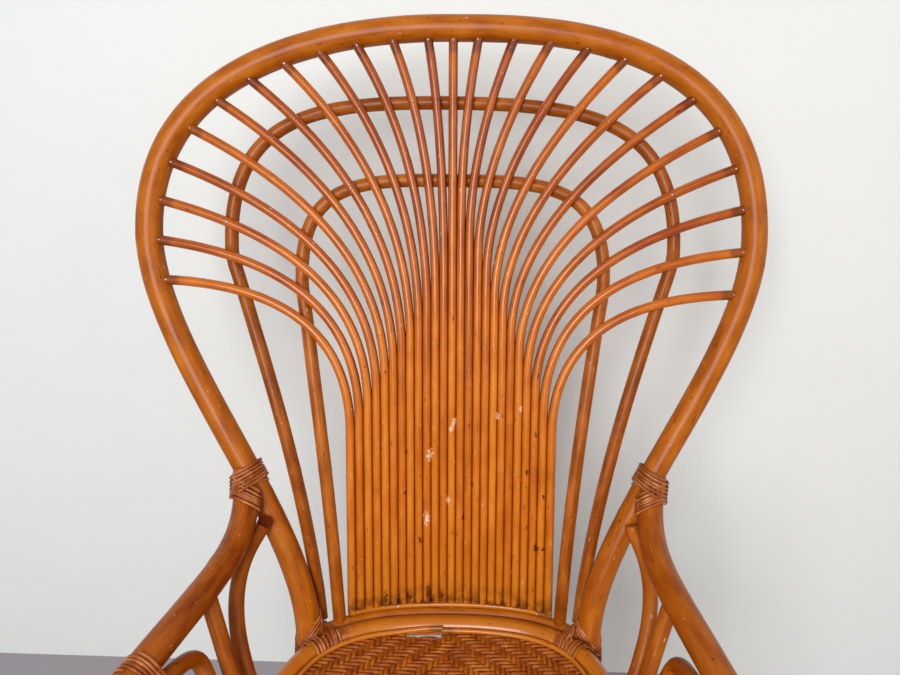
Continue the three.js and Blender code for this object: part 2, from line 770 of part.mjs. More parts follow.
// Woven seat: one dished sheet inside the ring, notched where the bindings pass
const seatMiddle = at(0, -(RING_SET + SEAT_DEPTH) / 2, 0);
const seatInset = RING_RADIUS + FIT_GAP;
function inset(distance) {
  const count = ringLoop.length;
  return ringLoop.map((p, i) => {
    const along = ringLoop[(i + 1) % count].clone().sub(ringLoop[(i + count - 1) % count]).normalize();
    return p.clone().add(new THREE.Vector3(along.y, -along.x, 0).multiplyScalar(distance));
  });
}

function dishedSheet() {
  const edge = inset(seatInset);
  const count = edge.length;
  const shares = [1, 0.72, 0.4];
  const positions = [];
  const index = [];
  const layers = [0, -WEAVE_THICKNESS];
  layers.forEach((drop) => {
    shares.forEach((share) => {
      edge.forEach((p) => {
        const spot = seatMiddle.clone().lerp(p, share);
        positions.push(spot.x, spot.y, SEAT_HEIGHT + drop - WEAVE_DISH * (1 - share * share));
      });
    });
    positions.push(seatMiddle.x, seatMiddle.y, SEAT_HEIGHT + drop - WEAVE_DISH);
  });
  const layerSize = shares.length * count + 1;
  for (let i = 0; i < count; i += 1) {
    const j = (i + 1) % count;
    for (let s = 0; s + 1 < shares.length; s += 1) {
      const outer = s * count;
      const inner = (s + 1) * count;
      index.push(outer + i, inner + i, outer + j, outer + j, inner + i, inner + j);
      const low = layerSize;
      index.push(low + outer + i, low + outer + j, low + inner + i);
      index.push(low + outer + j, low + inner + j, low + inner + i);
    }
    const hub = (shares.length - 1) * count;
    index.push(hub + i, layerSize - 1, hub + j);
    index.push(layerSize + hub + i, layerSize + hub + j, 2 * layerSize - 1);
    index.push(i, j, layerSize + i);
    index.push(j, layerSize + j, layerSize + i);
  }
  const geometry = new THREE.BufferGeometry();
  geometry.setAttribute('position', new THREE.Float32BufferAttribute(positions, 3));
  geometry.setIndex(index);
  return geometry;
}

const notchSpread = RING_RADIUS + STRAND * 2.5;
const strandRoom = STRAND + CORNER_GAP + 2 * STRAND_GAP;
function ringStretch(centre) {
  const points = ringLoop.filter((p) => p.distanceTo(centre) < notchSpread * 2 && p.x * centre.x > 0);
  return pole(points, RING_RADIUS + strandRoom, 10, UP);
}

// Trim: a thin pole on the edge of the weave, open at the back, stepping in round the bindings
const trimRise = TRIM_POLE / 2 + FIT_GAP;
const trimReach = RING_RADIUS + TRIM_POLE / 2 + FIT_GAP;
const trimInset = Math.sqrt(trimReach * trimReach - trimRise * trimRise);
function trimHalf() {
  const rear = evenly(TRIM_STEPS).slice(1, -1).map((t) => ({ curve: ringRear, t }));
  const front = evenly(TRIM_STEPS).map((t) => ({ curve: ringFront, t }));
  return [...rear, ...front].map(({ curve, t }) => {
    const spot = curve.getPoint(t);
    const away = Math.min(spot.distanceTo(legContact), spot.distanceTo(cornerContact)) / notchSpread;
    const step = THREE.MathUtils.smoothstep(3 - away, 0.6, 1.9) * strandRoom;
    spot.addScaledVector(outward(curve, t), -trimInset - step);
    return spot.setZ(SEAT_HEIGHT + trimRise);
  });
}
const trimRun = trimHalf();
const trimStart = at(TRIM_OPENING / 2, -RING_SET, 0).addScaledVector(outward(ringRear, 0), -trimInset);
trimStart.setZ(SEAT_HEIGHT + trimRise);
const trimSide = [trimStart, ...trimRun];
const trimPath = join(trimSide, mirrored(trimSide).reverse());
const trim = pole(trimPath, TRIM_POLE / 2, 6, UP);

// Bearers under the seat and stretchers between the legs
const BEARER_SIDES = 8;
function bearer(forward) {
  const reach = onRing(forward).x + RING_RADIUS / 2;
  const rise = -flatOf(RING_RADIUS, ring.sides) - flatOf(BEARER_POLE / 2, BEARER_SIDES) - FIT_GAP;
  return pole([at(-reach, -forward, rise), at(reach, -forward, rise)], BEARER_POLE / 2, BEARER_SIDES, UP);
}

function legSpot(points, height) {
  for (let i = points.length - 2; i >= 0; i -= 1) {
    const a = points[i];
    const b = points[i + 1];
    if (b.z <= height && a.z >= height) return a.clone().lerp(b, (a.z - height) / (a.z - b.z));
  }
  return points[points.length - 1];
}

const rearSide = legSpot(hoopRight, SIDE_STRETCHER_HEIGHT);
const frontSide = legSpot(armPath, SIDE_STRETCHER_HEIGHT);
const rearCross = legSpot(hoopRight, CROSS_STRETCHER_HEIGHT);
const frontCross = legSpot(armPath, CROSS_STRETCHER_HEIGHT);
const sideStretcher = pole([rearSide, frontSide], STRETCHER_POLE / 2, 8, UP);
const rearStretcher = pole([...mirrored([rearCross]), rearCross], STRETCHER_POLE / 2, 8, UP);
const frontStretcher = pole([...mirrored([frontCross]), frontCross], STRETCHER_POLE / 2, 8, UP);

// Assembly
add('outer_hoop', coped(hoop, [FLOOR]), RATTAN);
add('inner_arch_large', coped(largeArch, [rail, hoop]), BENT_RATTAN);
add('inner_arch_small', coped(smallArch, [rail]), BENT_RATTAN);
const spindleFloor = below(SEAT_HEIGHT + spindleFoot);
for (let number = 1; number <= spindles.length; number += 1) {
  const label = String(number).padStart(2, '0');
  add(`spindle_${label}`, coped(spindles[number - 1], [hoop, spindleFloor]), RATTAN);
}
add('spindle_foot_strip', sweep(strip), RATTAN);
add('back_rail', coped(rail, [hoop]), RATTAN);
add('seat_ring', sweep(ring), RATTAN);
add('seat_trim', sweep(trim), RATTAN);
const contacts = [legContact, cornerContact];
let seatBody = solid(dishedSheet());
[...contacts, ...mirrored(contacts)].forEach((spot) => {
  seatBody = seatBody.subtract(solid(sweep(ringStretch(spot))));
});
add('woven_seat', shell(seatBody), WEAVE);
addPair('arm', coped(arm, [hoop, FLOOR]), RATTAN);
addPair('arm_brace', coped(brace, [hoop, ring]), BENT_RATTAN);
addPair('arm_strut', coped(strut, [ring, arm]), BENT_RATTAN);
addPair('arm_loop', coped(armLoop, [ring]), BENT_RATTAN);
const otherArm = pole(mirrored(armPath), ARM_RADIUS, 10, SIDEWAYS);
addPair('side_stretcher', coped(sideStretcher, [hoop, arm]), RATTAN);
add('rear_stretcher', coped(rearStretcher, [hoop]), RATTAN);
add('front_stretcher', coped(frontStretcher, [arm, otherArm]), RATTAN);
add('rear_bearer', sweep(bearer(REAR_BEARER)), RATTAN);
add('front_bearer', sweep(bearer(FRONT_BEARER)), RATTAN);
const bindings = {
  waist_binding: waistBinding,
  arm_binding: armBinding,
  corner_binding: cornerBinding,
  front_binding: frontBinding,
};
Object.entries(bindings).forEach(([name, strand]) => {
  console.log(`${name}: least gap between its turns ${leastGap(strand).toFixed(2)} mm`);
  addPair(name, sweep(strand), PEEL);
});

// The middle of the chair's footprint becomes the origin, on the floor.
const box = new THREE.Box3().setFromObject(group);
const middle = box.getCenter(new THREE.Vector3());
group.children.forEach((mesh) => mesh.geometry.translate(-middle.x, -middle.y, -box.min.z));

export default group;
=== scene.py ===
"""Looks of a rattan peacock chair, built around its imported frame.

The frame is loaded first. Every pole, strand and nail is then made again along the frame's own centre lines,
with rounder sections, growth rings, a real weave and lacquered rattan, and stands for its node of the frame.
Lengths are metres, +Z is up and the chair faces -Y.
"""

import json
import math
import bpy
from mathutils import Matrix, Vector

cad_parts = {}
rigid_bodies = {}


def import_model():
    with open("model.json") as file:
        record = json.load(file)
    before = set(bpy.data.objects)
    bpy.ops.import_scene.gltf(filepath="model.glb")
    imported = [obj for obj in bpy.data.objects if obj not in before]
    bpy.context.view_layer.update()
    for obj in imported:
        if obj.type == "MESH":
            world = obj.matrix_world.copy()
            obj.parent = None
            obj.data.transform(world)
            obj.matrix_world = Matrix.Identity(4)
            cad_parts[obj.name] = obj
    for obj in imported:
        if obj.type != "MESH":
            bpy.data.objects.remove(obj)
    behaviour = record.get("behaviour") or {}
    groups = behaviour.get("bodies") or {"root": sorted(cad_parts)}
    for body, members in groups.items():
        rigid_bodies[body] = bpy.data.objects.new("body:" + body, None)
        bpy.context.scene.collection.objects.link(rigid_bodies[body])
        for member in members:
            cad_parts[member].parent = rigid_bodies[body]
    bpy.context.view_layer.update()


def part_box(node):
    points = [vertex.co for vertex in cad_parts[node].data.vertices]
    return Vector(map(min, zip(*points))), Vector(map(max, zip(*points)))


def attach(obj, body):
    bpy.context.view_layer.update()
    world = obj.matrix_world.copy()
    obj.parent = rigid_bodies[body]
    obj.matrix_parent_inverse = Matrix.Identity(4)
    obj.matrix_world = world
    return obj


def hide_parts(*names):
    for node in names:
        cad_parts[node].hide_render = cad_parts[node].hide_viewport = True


bl_info = {
    "name": "Peacock chair",
    "version": (1, 0, 0),
    "blender": (4, 5, 0),
    "location": "View3D > Sidebar > Peacock chair",
    "description": "Dresses the frame of a rattan peacock chair and sets its stage",
    "category": "Object",
}

import bmesh
import bpy
import numpy as np
from bpy.props import FloatProperty, FloatVectorProperty, IntProperty, PointerProperty
from mathutils import Matrix, Vector

for leftover in list(bpy.data.objects):
    bpy.data.objects.remove(leftover)

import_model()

MM = 0.001
PHOTO_WIDTH = 900
FIT = 0.3 * MM
MIRROR = np.array((-1.0, 1.0, 1.0))
UP = np.array((0.0, 0.0, 1.0))
SIDEWAYS = np.array((1.0, 0.0, 0.0))
# Outward run of each inner arch's leg at its foot, for each metre of rise
FOOT_LEAN = {"large": 0.11, "small": 0.05}
# Marks of use on the spindles: place across, rise above the ring, half width and half height, in millimetres
WEAR = {
    "chip": (
        (3, 257, 3, 7),
        (-1, 248, 2.5, 4),
        (-27, 215, 4, 7),
        (-4, 157, 2.5, 6),
        (-31, 133, 4, 9),
        (57, 266, 2.5, 5),
        (86, 277, 2, 4),
    ),
    "knot": (
        (-58, 168, 2.2, 4),
        (-56, 219, 2, 4),
        (15, 134, 2, 3.5),
        (-39, 105, 2.5, 5),
        (108, 103, 4, 5),
        (116, 103, 2.5, 4),
        (116, 170, 2.2, 4),
        (26, 178, 2, 4),
        (95, 198, 2, 4),
        (105, 247, 2, 4),
        (95, 128, 2, 3),
        (-83, 31, 3.5, 8),
        (-67, 25, 4, 5),
        (-54, 30, 4, 9),
        (-29, 35, 4, 12),
        (-24, 24, 5, 5),
        (-12, 30, 4, 8),
    ),
}


def linear(code):
    """An sRGB hex colour as linear red, green and blue."""
    shares = [int(code[i : i + 2], 16) / 255 for i in (1, 3, 5)]
    return tuple(c / 12.92 if c <= 0.04045 else ((c + 0.055) / 1.055) ** 2.4 for c in shares)


def size(label, text, millimetres):
    return FloatProperty(name=label, description=text, default=millimetres * MM, unit="LENGTH", precision=4)


def tilt(label, text, degrees):
    return FloatProperty(name=label, description=text, default=math.radians(degrees), subtype="ANGLE")


def number(label, text, value):
    return IntProperty(name=label, description=text, default=value)


def colour(label, text, code):
    return FloatVectorProperty(
        name=label, description=text, default=linear(code), subtype="COLOR", min=0, max=1
    )


def strength(label, text, value):
    return FloatProperty(name=label, description=text, default=value, min=0)


class SeatSizes(bpy.types.PropertyGroup):
    height: size("Height", "Centre line of the seat ring above the floor", 420)
    ring_pole: size("Ring pole", "Diameter of the seat ring's pole", 24)
    side_half: size("Side half", "Reach of the ring's centre line partway along its sides", 206)
    side_forward: size("Side forward", "Distance of that place from the seat's rear line", 200)
    depth: size("Depth", "Ring's front centre line from the seat's rear line", 470)
    ring_set: size("Ring set", "Ring's back centre line in front of the seat's rear line", 8.5)
    back_ease: size("Back ease", "Reach of the gentle back of the ring", 190)
    side_ease: size("Side ease", "Length over which the sides run straight from the back", 116)
    flank_ease: size("Flank ease", "Length over which the sides run straight to the front", 160)
    front_ease: size("Front ease", "Reach of the round front of the ring", 190)
    flare: tilt("Flare", "Outward heading of the ring's sides", 16)
    dish: size("Dish", "Depth of the seat's hollow", 7)
    trim_pole: size("Trim pole", "Diameter of the thin pole along the weave's edge", 6)
    trim_lift: tilt("Trim lift", "How far the loose left end of the trim has crept up round the ring", 11)
    bearer_pole: size("Bearer pole", "Diameter of the two poles under the seat", 20)
    rear_bearer: size("Rear bearer", "Distance of the rear bearer from the seat's rear line", 160)
    front_bearer: size("Front bearer", "Distance of the front bearer from the seat's rear line", 285)


class BackSizes(bpy.types.PropertyGroup):
    hoop_pole: size("Hoop pole", "Diameter of the outer hoop", 30)
    rise: size("Rise", "Top of the hoop's centre line above the ring", 721)
    half_width: size("Half width", "Widest reach of the hoop's centre line", 361)
    wide_rise: size("Widest rise", "Height of the hoop's widest place above the ring", 485)
    seat_half: size("Seat half", "Reach of the hoop where it passes the ring", 174)
    crown_ease: size("Crown ease", "Reach of the flat crown", 82)
    side_ease: size("Side ease", "Length over which the sides run upright", 236)
    skew: size("Skew", "How much longer that length is on the right than midway", 15)
    waist_ease: size("Waist ease", "Length over which the waist swings in", 143)
    lean: tilt("Lean", "Lean of the back from upright", 12)
    foot_half: size("Foot half", "Reach of the rear feet", 205)
    foot_back: size("Foot back", "Distance of the rear feet behind the ring", 40)
    leg_ease: size("Leg ease", "Length of the bend in the rear legs", 100)
    rail_pole: size("Rail pole", "Diameter of the rail behind the ring", 16)
    rail_lift: size("Rail lift", "Rail's centre line above the ring's", 3.3)
    strip_pole: size("Strip pole", "Diameter of the strip under the spindle feet", 7)


class ArchSizes(bpy.types.PropertyGroup):
    pole: size("Pole", "Diameter of both inner arches", 16)
    leg_ease: size("Leg ease", "Length over which the arch legs swing in", 30)
    foot_ease: size("Foot ease", "Length over which the arch legs run straight to their feet", 250)
    large_rise: size("Large rise", "Top of the large arch above the ring", 638)
    large_half: size("Large half", "Widest reach of the large arch", 269)
    large_wide_rise: size("Large widest rise", "Height of the large arch's widest place", 468)
    large_crown_ease: size("Large crown ease", "Reach of the large arch's crown", 163)
    large_side_ease: size("Large side ease", "Upright length of the large arch's sides", 156)
    large_foot_rise: size("Large foot rise", "Height where the large arch ends on the hoop's leg", 31)
    large_foot_turn: tilt("Large foot turn", "How far inward of straight behind the leg it ends", 20)
    small_rise: size("Small rise", "Top of the small arch above the ring", 548)
    small_half: size("Small half", "Widest reach of the small arch", 185)
    small_wide_rise: size("Small widest rise", "Height of the small arch's widest place", 432)
    small_crown_ease: size("Small crown ease", "Reach of the small arch's crown", 111)
    small_side_ease: size("Small side ease", "Upright length of the small arch's sides", 116)
    small_from_strip: size("Small foot gap", "Distance of the small arch's foot from the strip", 2)


class FanSizes(bpy.types.PropertyGroup):
    pole: size("Pole", "Diameter of a spindle", 10)
    per_side: number("Per side", "Spindles on each side of the middle one", 12)
    pitch: size("Pitch", "Distance between spindles at their feet", 10.35)
    swelling: size("Swelling", "How much thicker the spindles are in the scene, so that they touch", 0.9)
    tip_first: size("First tip", "First tip's distance from the hoop's top, along the hoop", 31.7)
    tip_step_inner: size("Inner tip step", "Distance between the innermost tips along the hoop", 44.1)
    tip_step_outer: size("Outer tip step", "Distance between the outermost tips along the hoop", 50.7)
    tip_skew: size("Tip skew", "How much wider the outermost step is on the right than midway", 1.8)
    tip_forward: size("Tip forward", "How far the tips stand in front of the hoop's middle", 4)
    start_outer: size("Outer bend start", "Height where the outermost spindle starts to bend", 249)
    start_inner: size("Inner bend start", "Height where the innermost spindle starts to bend", 463)
    bend_skew: size("Bend skew", "How much higher the innermost bend starts on the right than midway", 40)
    top_outer: size("Outer bend top", "Height toward which the outermost spindle bends", 435)
    top_inner: size("Inner bend top", "Height toward which the innermost spindle bends", 611)


class ArmSizes(bpy.types.PropertyGroup):
    pole: size("Pole", "Diameter of the arms and front legs", 30)
    root_rise: size("Root rise", "Height where the arm meets the hoop", 210)
    neck_half: size("Neck half", "Reach of the arm's first bend", 227)
    neck_forward: size("Neck forward", "Distance of the first bend in front of the seat's rear line", 47)
    neck_rise: size("Neck rise", "Height of the arm's first bend", 127)
    knee_half: size("Knee half", "Reach of the arm where it turns down", 270)
    knee_forward: size("Knee forward", "Distance of that turn in front of the seat's rear line", 266)
    knee_rise: size("Knee rise", "Height of that turn", 124)
    knee_ease: size("Knee ease", "Length over which the arm runs straight to that turn", 154)
    front_ease: size("Front ease", "Length over which the arm runs on from that turn", 85)
    flare: tilt("Flare", "Outward heading at the turn", 13)
    drop: tilt("Drop", "Downward heading at the turn", 12)
    leg_on_ring: size("Leg on ring", "Distance of the front leg from the seat's rear line", 350)
    leg_ease: size("Leg ease", "Length of the bend above the front leg", 70)
    leg_straight: size("Leg straight", "Straight length above the ring", 30)
    foot_splay: size("Foot splay", "How far the front feet stand out", 14)
    side_pole: size("Side pole", "Diameter of braces, struts and loops", 17)
    brace_rise: size("Brace rise", "Height where the brace's end lies on the hoop", 151)
    brace_drop: size("Brace drop", "Length over which the brace's end runs down along the hoop", 20)
    brace_half: size("Brace half", "Reach of the brace's bow", 262)
    brace_forward: size("Brace forward", "Distance of the brace's bow from the seat's rear line", 104)
    brace_bow: size("Brace bow", "Height of the brace's bow", 138)
    brace_on_ring: size("Brace on ring", "Distance of the brace's foot from the seat's rear line", 148)
    strut_on_ring: size("Strut on ring", "Distance of the strut's foot from the seat's rear line", 172)
    strut_on_arm: size("Strut on arm", "Distance of the strut's top from the seat's rear line", 135)
    loop_rear: size("Loop rear", "Distance of the loop's rear foot from the seat's rear line", 196)
    loop_front: size("Loop front", "Distance of the loop's front foot from the seat's rear line", 315)
    loop_rise: size("Loop rise", "Height of the loop's crest", 93)
    loop_half: size("Loop half", "Reach of the loop's crest", 238.5)
    loop_forward: size("Loop forward", "Distance of the loop's crest from the seat's rear line", 180)
    loop_on_arm_rear: size("Loop on arm, rear", "Where the loop comes up under the arm", 225)
    loop_on_arm_front: size("Loop on arm, front", "Where the loop leaves the arm again", 255)
    tie: size("Tie", "Where arm and loop are tied, from the seat's rear line", 238)


class LegSizes(bpy.types.PropertyGroup):
    stretcher_pole: size("Stretcher pole", "Diameter of the stretchers", 20)
    side_height: size("Side height", "Side stretchers above the floor", 150)
    cross_height: size("Cross height", "Front and rear stretchers above the floor", 195)


class WeaveSizes(bpy.types.PropertyGroup):
    long_pitch: size("Long pitch", "Distance between reeds that run front to back", 6.2)
    cross_pitch: size("Cross pitch", "Distance between reeds that run side to side", 5.3)
    floats: number("Floats", "Reeds that each reed passes over before it dives", 3)
    long_width: size("Long reed width", "Width of a reed that runs front to back", 6.6)
    cross_width: size("Cross reed width", "Width of a reed that runs side to side", 5.7)
    thickness: size("Reed thickness", "Thickness of a reed", 2.1)
    rise: size("Rise", "How far a reed goes up and down", 1.1)


class BindingSizes(bpy.types.PropertyGroup):
    width: size("Peel width", "Width of a strand of peel", 3.2)
    thickness: size("Peel thickness", "Thickness of a strand of peel", 1.5)
    pitch: size("Pitch", "Distance between turns", 3.7)
    waist_turns: number("Waist turns", "Turns round hoop and arm", 6)
    arm_turns: number("Arm turns", "Turns round arm and loop", 5)
    corner_turns: number("Corner turns", "Turns round hoop and ring", 4)
    front_turns: number("Front turns", "Turns round front leg and ring", 4)
    corner_rise: size("Corner rise", "Height of the corner binding above the ring's middle", 2)


class RattanColours(bpy.types.PropertyGroup):
    fan_worn: colour("Fan worn", "Golden colour of the spindles near the seat", "#BC7010")
    # Besides growth rings, specks, knots, dirt and end grain, this dark colour also paints shade on the
    # spindles' sides and tips
    groove: colour("Groove", "Lacquer gathered in grooves and at growth rings", "#4A1602")
    chip: colour("Chip", "Bare rattan where the lacquer has chipped", "#E9C7A6")
    nail: colour("Nail", "Steel of the nail heads", "#E6DDD3")


TONES = {"deep": "Dark streaks", "body": "Main colour", "pale": "Pale streaks"}
for family, wood, *codes in (
    ("hoop", "the thick poles", "#823A02", "#A85502", "#C2700E"),
    ("fan", "the spindles", "#963E02", "#CA6906", "#E68C26"),
    ("arch", "the inner arches", "#6E2E02", "#964A02", "#C26C1C"),
    ("arm", "the arms and their supports", "#742802", "#9E4E02", "#B66612"),
    ("weave", "the woven reeds", "#662802", "#A45006", "#CC7E28"),
    ("peel", "the bindings", "#662004", "#A05018", "#DC9C66"),
):
    for (tone, look), code in zip(TONES.items(), codes):
        label = f"{family} {tone}".capitalize()
        RattanColours.__annotations__[f"{family}_{tone}"] = colour(label, f"{look} of {wood}", code)


class StageSizes(bpy.types.PropertyGroup):
    wall_behind: size("Wall behind", "Distance of the wall behind the middle of the chair", 557)
    wall_height: size("Wall height", "Height of the wall", 3200)
    reach: size("Reach", "Half the width of floor and wall", 4000)
    wall_colour: colour("Wall", "Plain pale wall", "#EFF2EF")
    floor_colour: colour("Floor", "Plain pale floor", "#A7A1A7")
    key: strength("Key light", "Power of the large soft light, in watts", 53)
    fill: strength("Fill light", "Power of the second soft light, in watts", 10)
    sky: strength("Sky", "Strength of the even light all round", 0.46)


class ChairSettings(bpy.types.PropertyGroup):
    seat: PointerProperty(type=SeatSizes)
    back: PointerProperty(type=BackSizes)
    arch: PointerProperty(type=ArchSizes)
    fan: PointerProperty(type=FanSizes)
    arm: PointerProperty(type=ArmSizes)
    leg: PointerProperty(type=LegSizes)
    weave: PointerProperty(type=WeaveSizes)
    binding: PointerProperty(type=BindingSizes)
    colours: PointerProperty(type=RattanColours)
    stage: PointerProperty(type=StageSizes)


def point(x, y, rise):
    return np.array((x, y, rise), float)


def unit(vector):
    return vector / np.linalg.norm(vector)


def bezier(a, b, c, d, steps=60):
    t = np.linspace(0, 1, steps + 1)[:, None]
    return (1 - t) ** 3 * a + 3 * (1 - t) ** 2 * t * b + 3 * (1 - t) * t * t * c + t**3 * d


def joined(*runs):
    return np.vstack([runs[0], *[run[1:] for run in runs[1:]]])


def left_to_right(left, right):
    return joined(left[::-1], right)


def both_sides(half):
    return left_to_right(half * MIRROR, half)


def lengths(path):
    steps = np.linalg.norm(np.diff(path, axis=0), axis=1)
    return np.concatenate(([0.0], np.cumsum(steps)))


def spot(path, key, value):
    """The point of a path where a rising key has a value."""
    return np.array([np.interp(value, key, path[:, i]) for i in range(3)])


def along(path, key, value):
    """The heading of a path where a rising key has a value."""
    reach = (key[-1] - key[0]) * 1e-3
    return unit(spot(path, key, value + reach) - spot(path, key, value - reach))


def cut_ends(path, start=0.0, end=0.0):
    run = lengths(path)
    kept = path[(run > start) & (run < run[-1] - end)]
    return np.vstack([spot(path, run, start), kept, spot(path, run, run[-1] - end)])


def run_on(path, distance):
    """A path made longer at both ends, straight on."""
    first, last = unit(path[0] - path[1]), unit(path[-1] - path[-2])
    return np.vstack([path[0] + first * distance, path, path[-1] + last * distance])


def between(first, second, start, end, t):
    """The place between two points that are passed at a start and an end."""
    return ((end - t) * first + (t - start) * second) / (end - start)


def through(points, steps=20):
    """A smooth run through points, its knots spaced by the root of their distance."""
    ends = [2 * points[0] - points[1], *points, 2 * points[-1] - points[-2]]
    made = []
    for i in range(1, len(ends) - 2):
        p = ends[i - 1 : i + 3]
        knots = np.cumsum([0.0] + [math.sqrt(np.linalg.norm(p[k + 1] - p[k])) for k in range(3)])
        for t in np.linspace(knots[1], knots[2], steps, endpoint=False):
            a = [between(p[k], p[k + 1], knots[k], knots[k + 1], t) for k in range(3)]
            b = [between(a[k], a[k + 1], knots[k], knots[k + 2], t) for k in range(2)]
            made.append(between(b[0], b[1], knots[1], knots[2], t))
    return np.array([*made, points[-1]])


def crossing(first, second):
    """Where two runs cross, seen from the front: the place along the first and the point on the second."""
    a, ab = first[:-1, None], np.diff(first, axis=0)[:, None]
    c, cd = second[None, :-1], np.diff(second, axis=0)[None]
    turn = ab[..., 0] * cd[..., 2] - ab[..., 2] * cd[..., 0]
    turn = np.where(np.abs(turn) < 1e-15, 1e-15, turn)
    gap = c - a
    s = (gap[..., 0] * cd[..., 2] - gap[..., 2] * cd[..., 0]) / turn
    t = (gap[..., 0] * ab[..., 2] - gap[..., 2] * ab[..., 0]) / turn
    hits = np.argwhere((s >= 0) & (s < 1) & (t >= 0) & (t < 1))
    if not len(hits):
        return None
    i, j = hits[0]
    return i + s[i, j], second[j] + t[i, j] * (second[j + 1] - second[j])


def smoothstep(value):
    share = np.clip(value, 0, 1)
    return share * share * (3 - 2 * share)


class ChairLines:
    """Centre lines of every pole, from the middle of the seat's rear line: +X right, +Y behind, +Z up."""

    def __init__(self, chair):
        self.chair = chair
        ring_low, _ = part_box("seat_ring")
        self.home = point(0, ring_low.y + chair.seat.depth + chair.seat.ring_pole / 2, chair.seat.height)
        self.draw_ring()
        self.draw_hoop()
        self.draw_rail()
        self.draw_fan()
        self.draw_arches()
        self.draw_arms()
        self.draw_underframe()

    def draw_ring(self):
        seat = self.chair.seat
        side = point(seat.side_half, -seat.side_forward, 0)
        heading = point(math.sin(seat.flare), -math.cos(seat.flare), 0)
        self.ring_radius = seat.ring_pole / 2
        self.ring_rear = bezier(
            point(0, -seat.ring_set, 0),
            point(seat.back_ease, -seat.ring_set, 0),
            side - heading * seat.side_ease,
            side,
            200,
        )
        self.ring_front = bezier(
            side,
            side + heading * seat.flank_ease,
            point(seat.front_ease, -seat.depth, 0),
            point(0, -seat.depth, 0),
            200,
        )
        self.ring_half = joined(self.ring_rear, self.ring_front)

    def beside_ring(self, path, distance):
        """A run at a distance outside the ring, or inside it where the distance is negative."""
        heading = np.gradient(path, axis=0)
        outward = np.stack([-heading[:, 1], heading[:, 0], np.zeros(len(path))], axis=1)
        return path + distance * outward / np.linalg.norm(outward, axis=1)[:, None]

    def on_ring(self, distance):
        return spot(self.ring_half, -self.ring_half[:, 1], distance)

    def leaning(self, x, rise, behind=0.0):
        return point(x, self.hoop_depth + rise * math.tan(self.chair.back.lean) + behind, rise)

    def draw_hoop(self):
        back = self.chair.back
        self.hoop_radius = back.hoop_pole / 2
        self.frontward = point(0, -math.cos(back.lean), math.sin(back.lean))
        reach = (self.hoop_radius + self.ring_radius + FIT) / math.cos(back.lean)
        across = back.seat_half - self.ring_rear[:, 0]
        near = np.abs(across) < reach
        self.hoop_depth = float((self.ring_rear[near, 1] + np.sqrt(reach**2 - across[near] ** 2)).max())
        near_leg = np.linalg.norm(self.ring_rear - self.leaning(back.seat_half, 0), axis=1)
        self.corner = self.ring_rear[np.argmin(near_leg)]
        self.corner_heading = along(self.ring_rear, -self.ring_rear[:, 1], -self.corner[1])
        self.crowns = {}
        for side in (1, -1):
            self.crowns[side] = bezier(
                self.leaning(0, back.rise),
                self.leaning(side * back.crown_ease, back.rise),
                self.leaning(side * back.half_width, back.wide_rise + back.side_ease + side * back.skew),
                self.leaning(side * back.half_width, back.wide_rise),
                160,
            )
        self.waist = bezier(
            self.leaning(back.half_width, back.wide_rise),
            self.leaning(back.half_width, back.wide_rise - back.waist_ease),
            self.leaning(back.seat_half, back.waist_ease),
            self.leaning(back.seat_half, 0),
            160,
        )
        foot = point(back.foot_half, back.foot_back, -self.chair.seat.height)
        leg = bezier(
            self.leaning(back.seat_half, 0),
            self.leaning(back.seat_half, -back.leg_ease),
            foot + point(0, -back.foot_back / 2, back.leg_ease),
            foot + point(0, 0, -self.hoop_radius),
        )
        self.hoop_low = joined(self.waist, leg)
        left, right = joined(self.crowns[-1], self.hoop_low * MIRROR), joined(self.crowns[1], self.hoop_low)
        self.hoop = left_to_right(left, right)

    def on_waist(self, rise):
        return spot(self.waist[::-1], self.waist[::-1, 2], rise)

    def draw_rail(self):
        back, fan = self.chair.back, self.chair.fan
        self.rail_radius = back.rail_pole / 2
        reach = self.ring_radius + self.rail_radius + FIT
        spread = math.sqrt(reach**2 - back.rail_lift**2)
        self.rail_run = self.beside_ring(self.ring_rear, spread) + point(0, 0, back.rail_lift)
        self.strip_rise = self.rail_radius + back.rail_lift + back.strip_pole / 2 + FIT
        self.strip_reach = fan.per_side * fan.pitch + fan.pole / 2
        self.spindle_foot = self.strip_rise + back.strip_pole / 2 + FIT
        self.rail_half = self.rail_until(back.seat_half)
        self.strip_half = self.rail_until(self.strip_reach)
        self.strip_half[:, 2] = self.strip_rise

    def rail_at(self, half):
        return spot(self.rail_run, self.rail_run[:, 0], half)

    def rail_until(self, half):
        return np.vstack([self.rail_run[self.rail_run[:, 0] < half], self.rail_at(half)])

    def tip(self, place):
        """Where a spindle meets the hoop; the steps between the tips grow down the hoop's sides."""
        fan = self.chair.fan
        side = 1 if place > 0 else -1
        run = joined(self.crowns[side], self.waist * (side, 1, 1))
        steps = abs(place) - 1
        growth = (fan.tip_step_outer + side * fan.tip_skew - fan.tip_step_inner) / (fan.per_side - 2)
        distance = fan.tip_first + steps * fan.tip_step_inner + growth * steps * (steps - 1) / 2
        return spot(run, lengths(run), distance if place else 0)

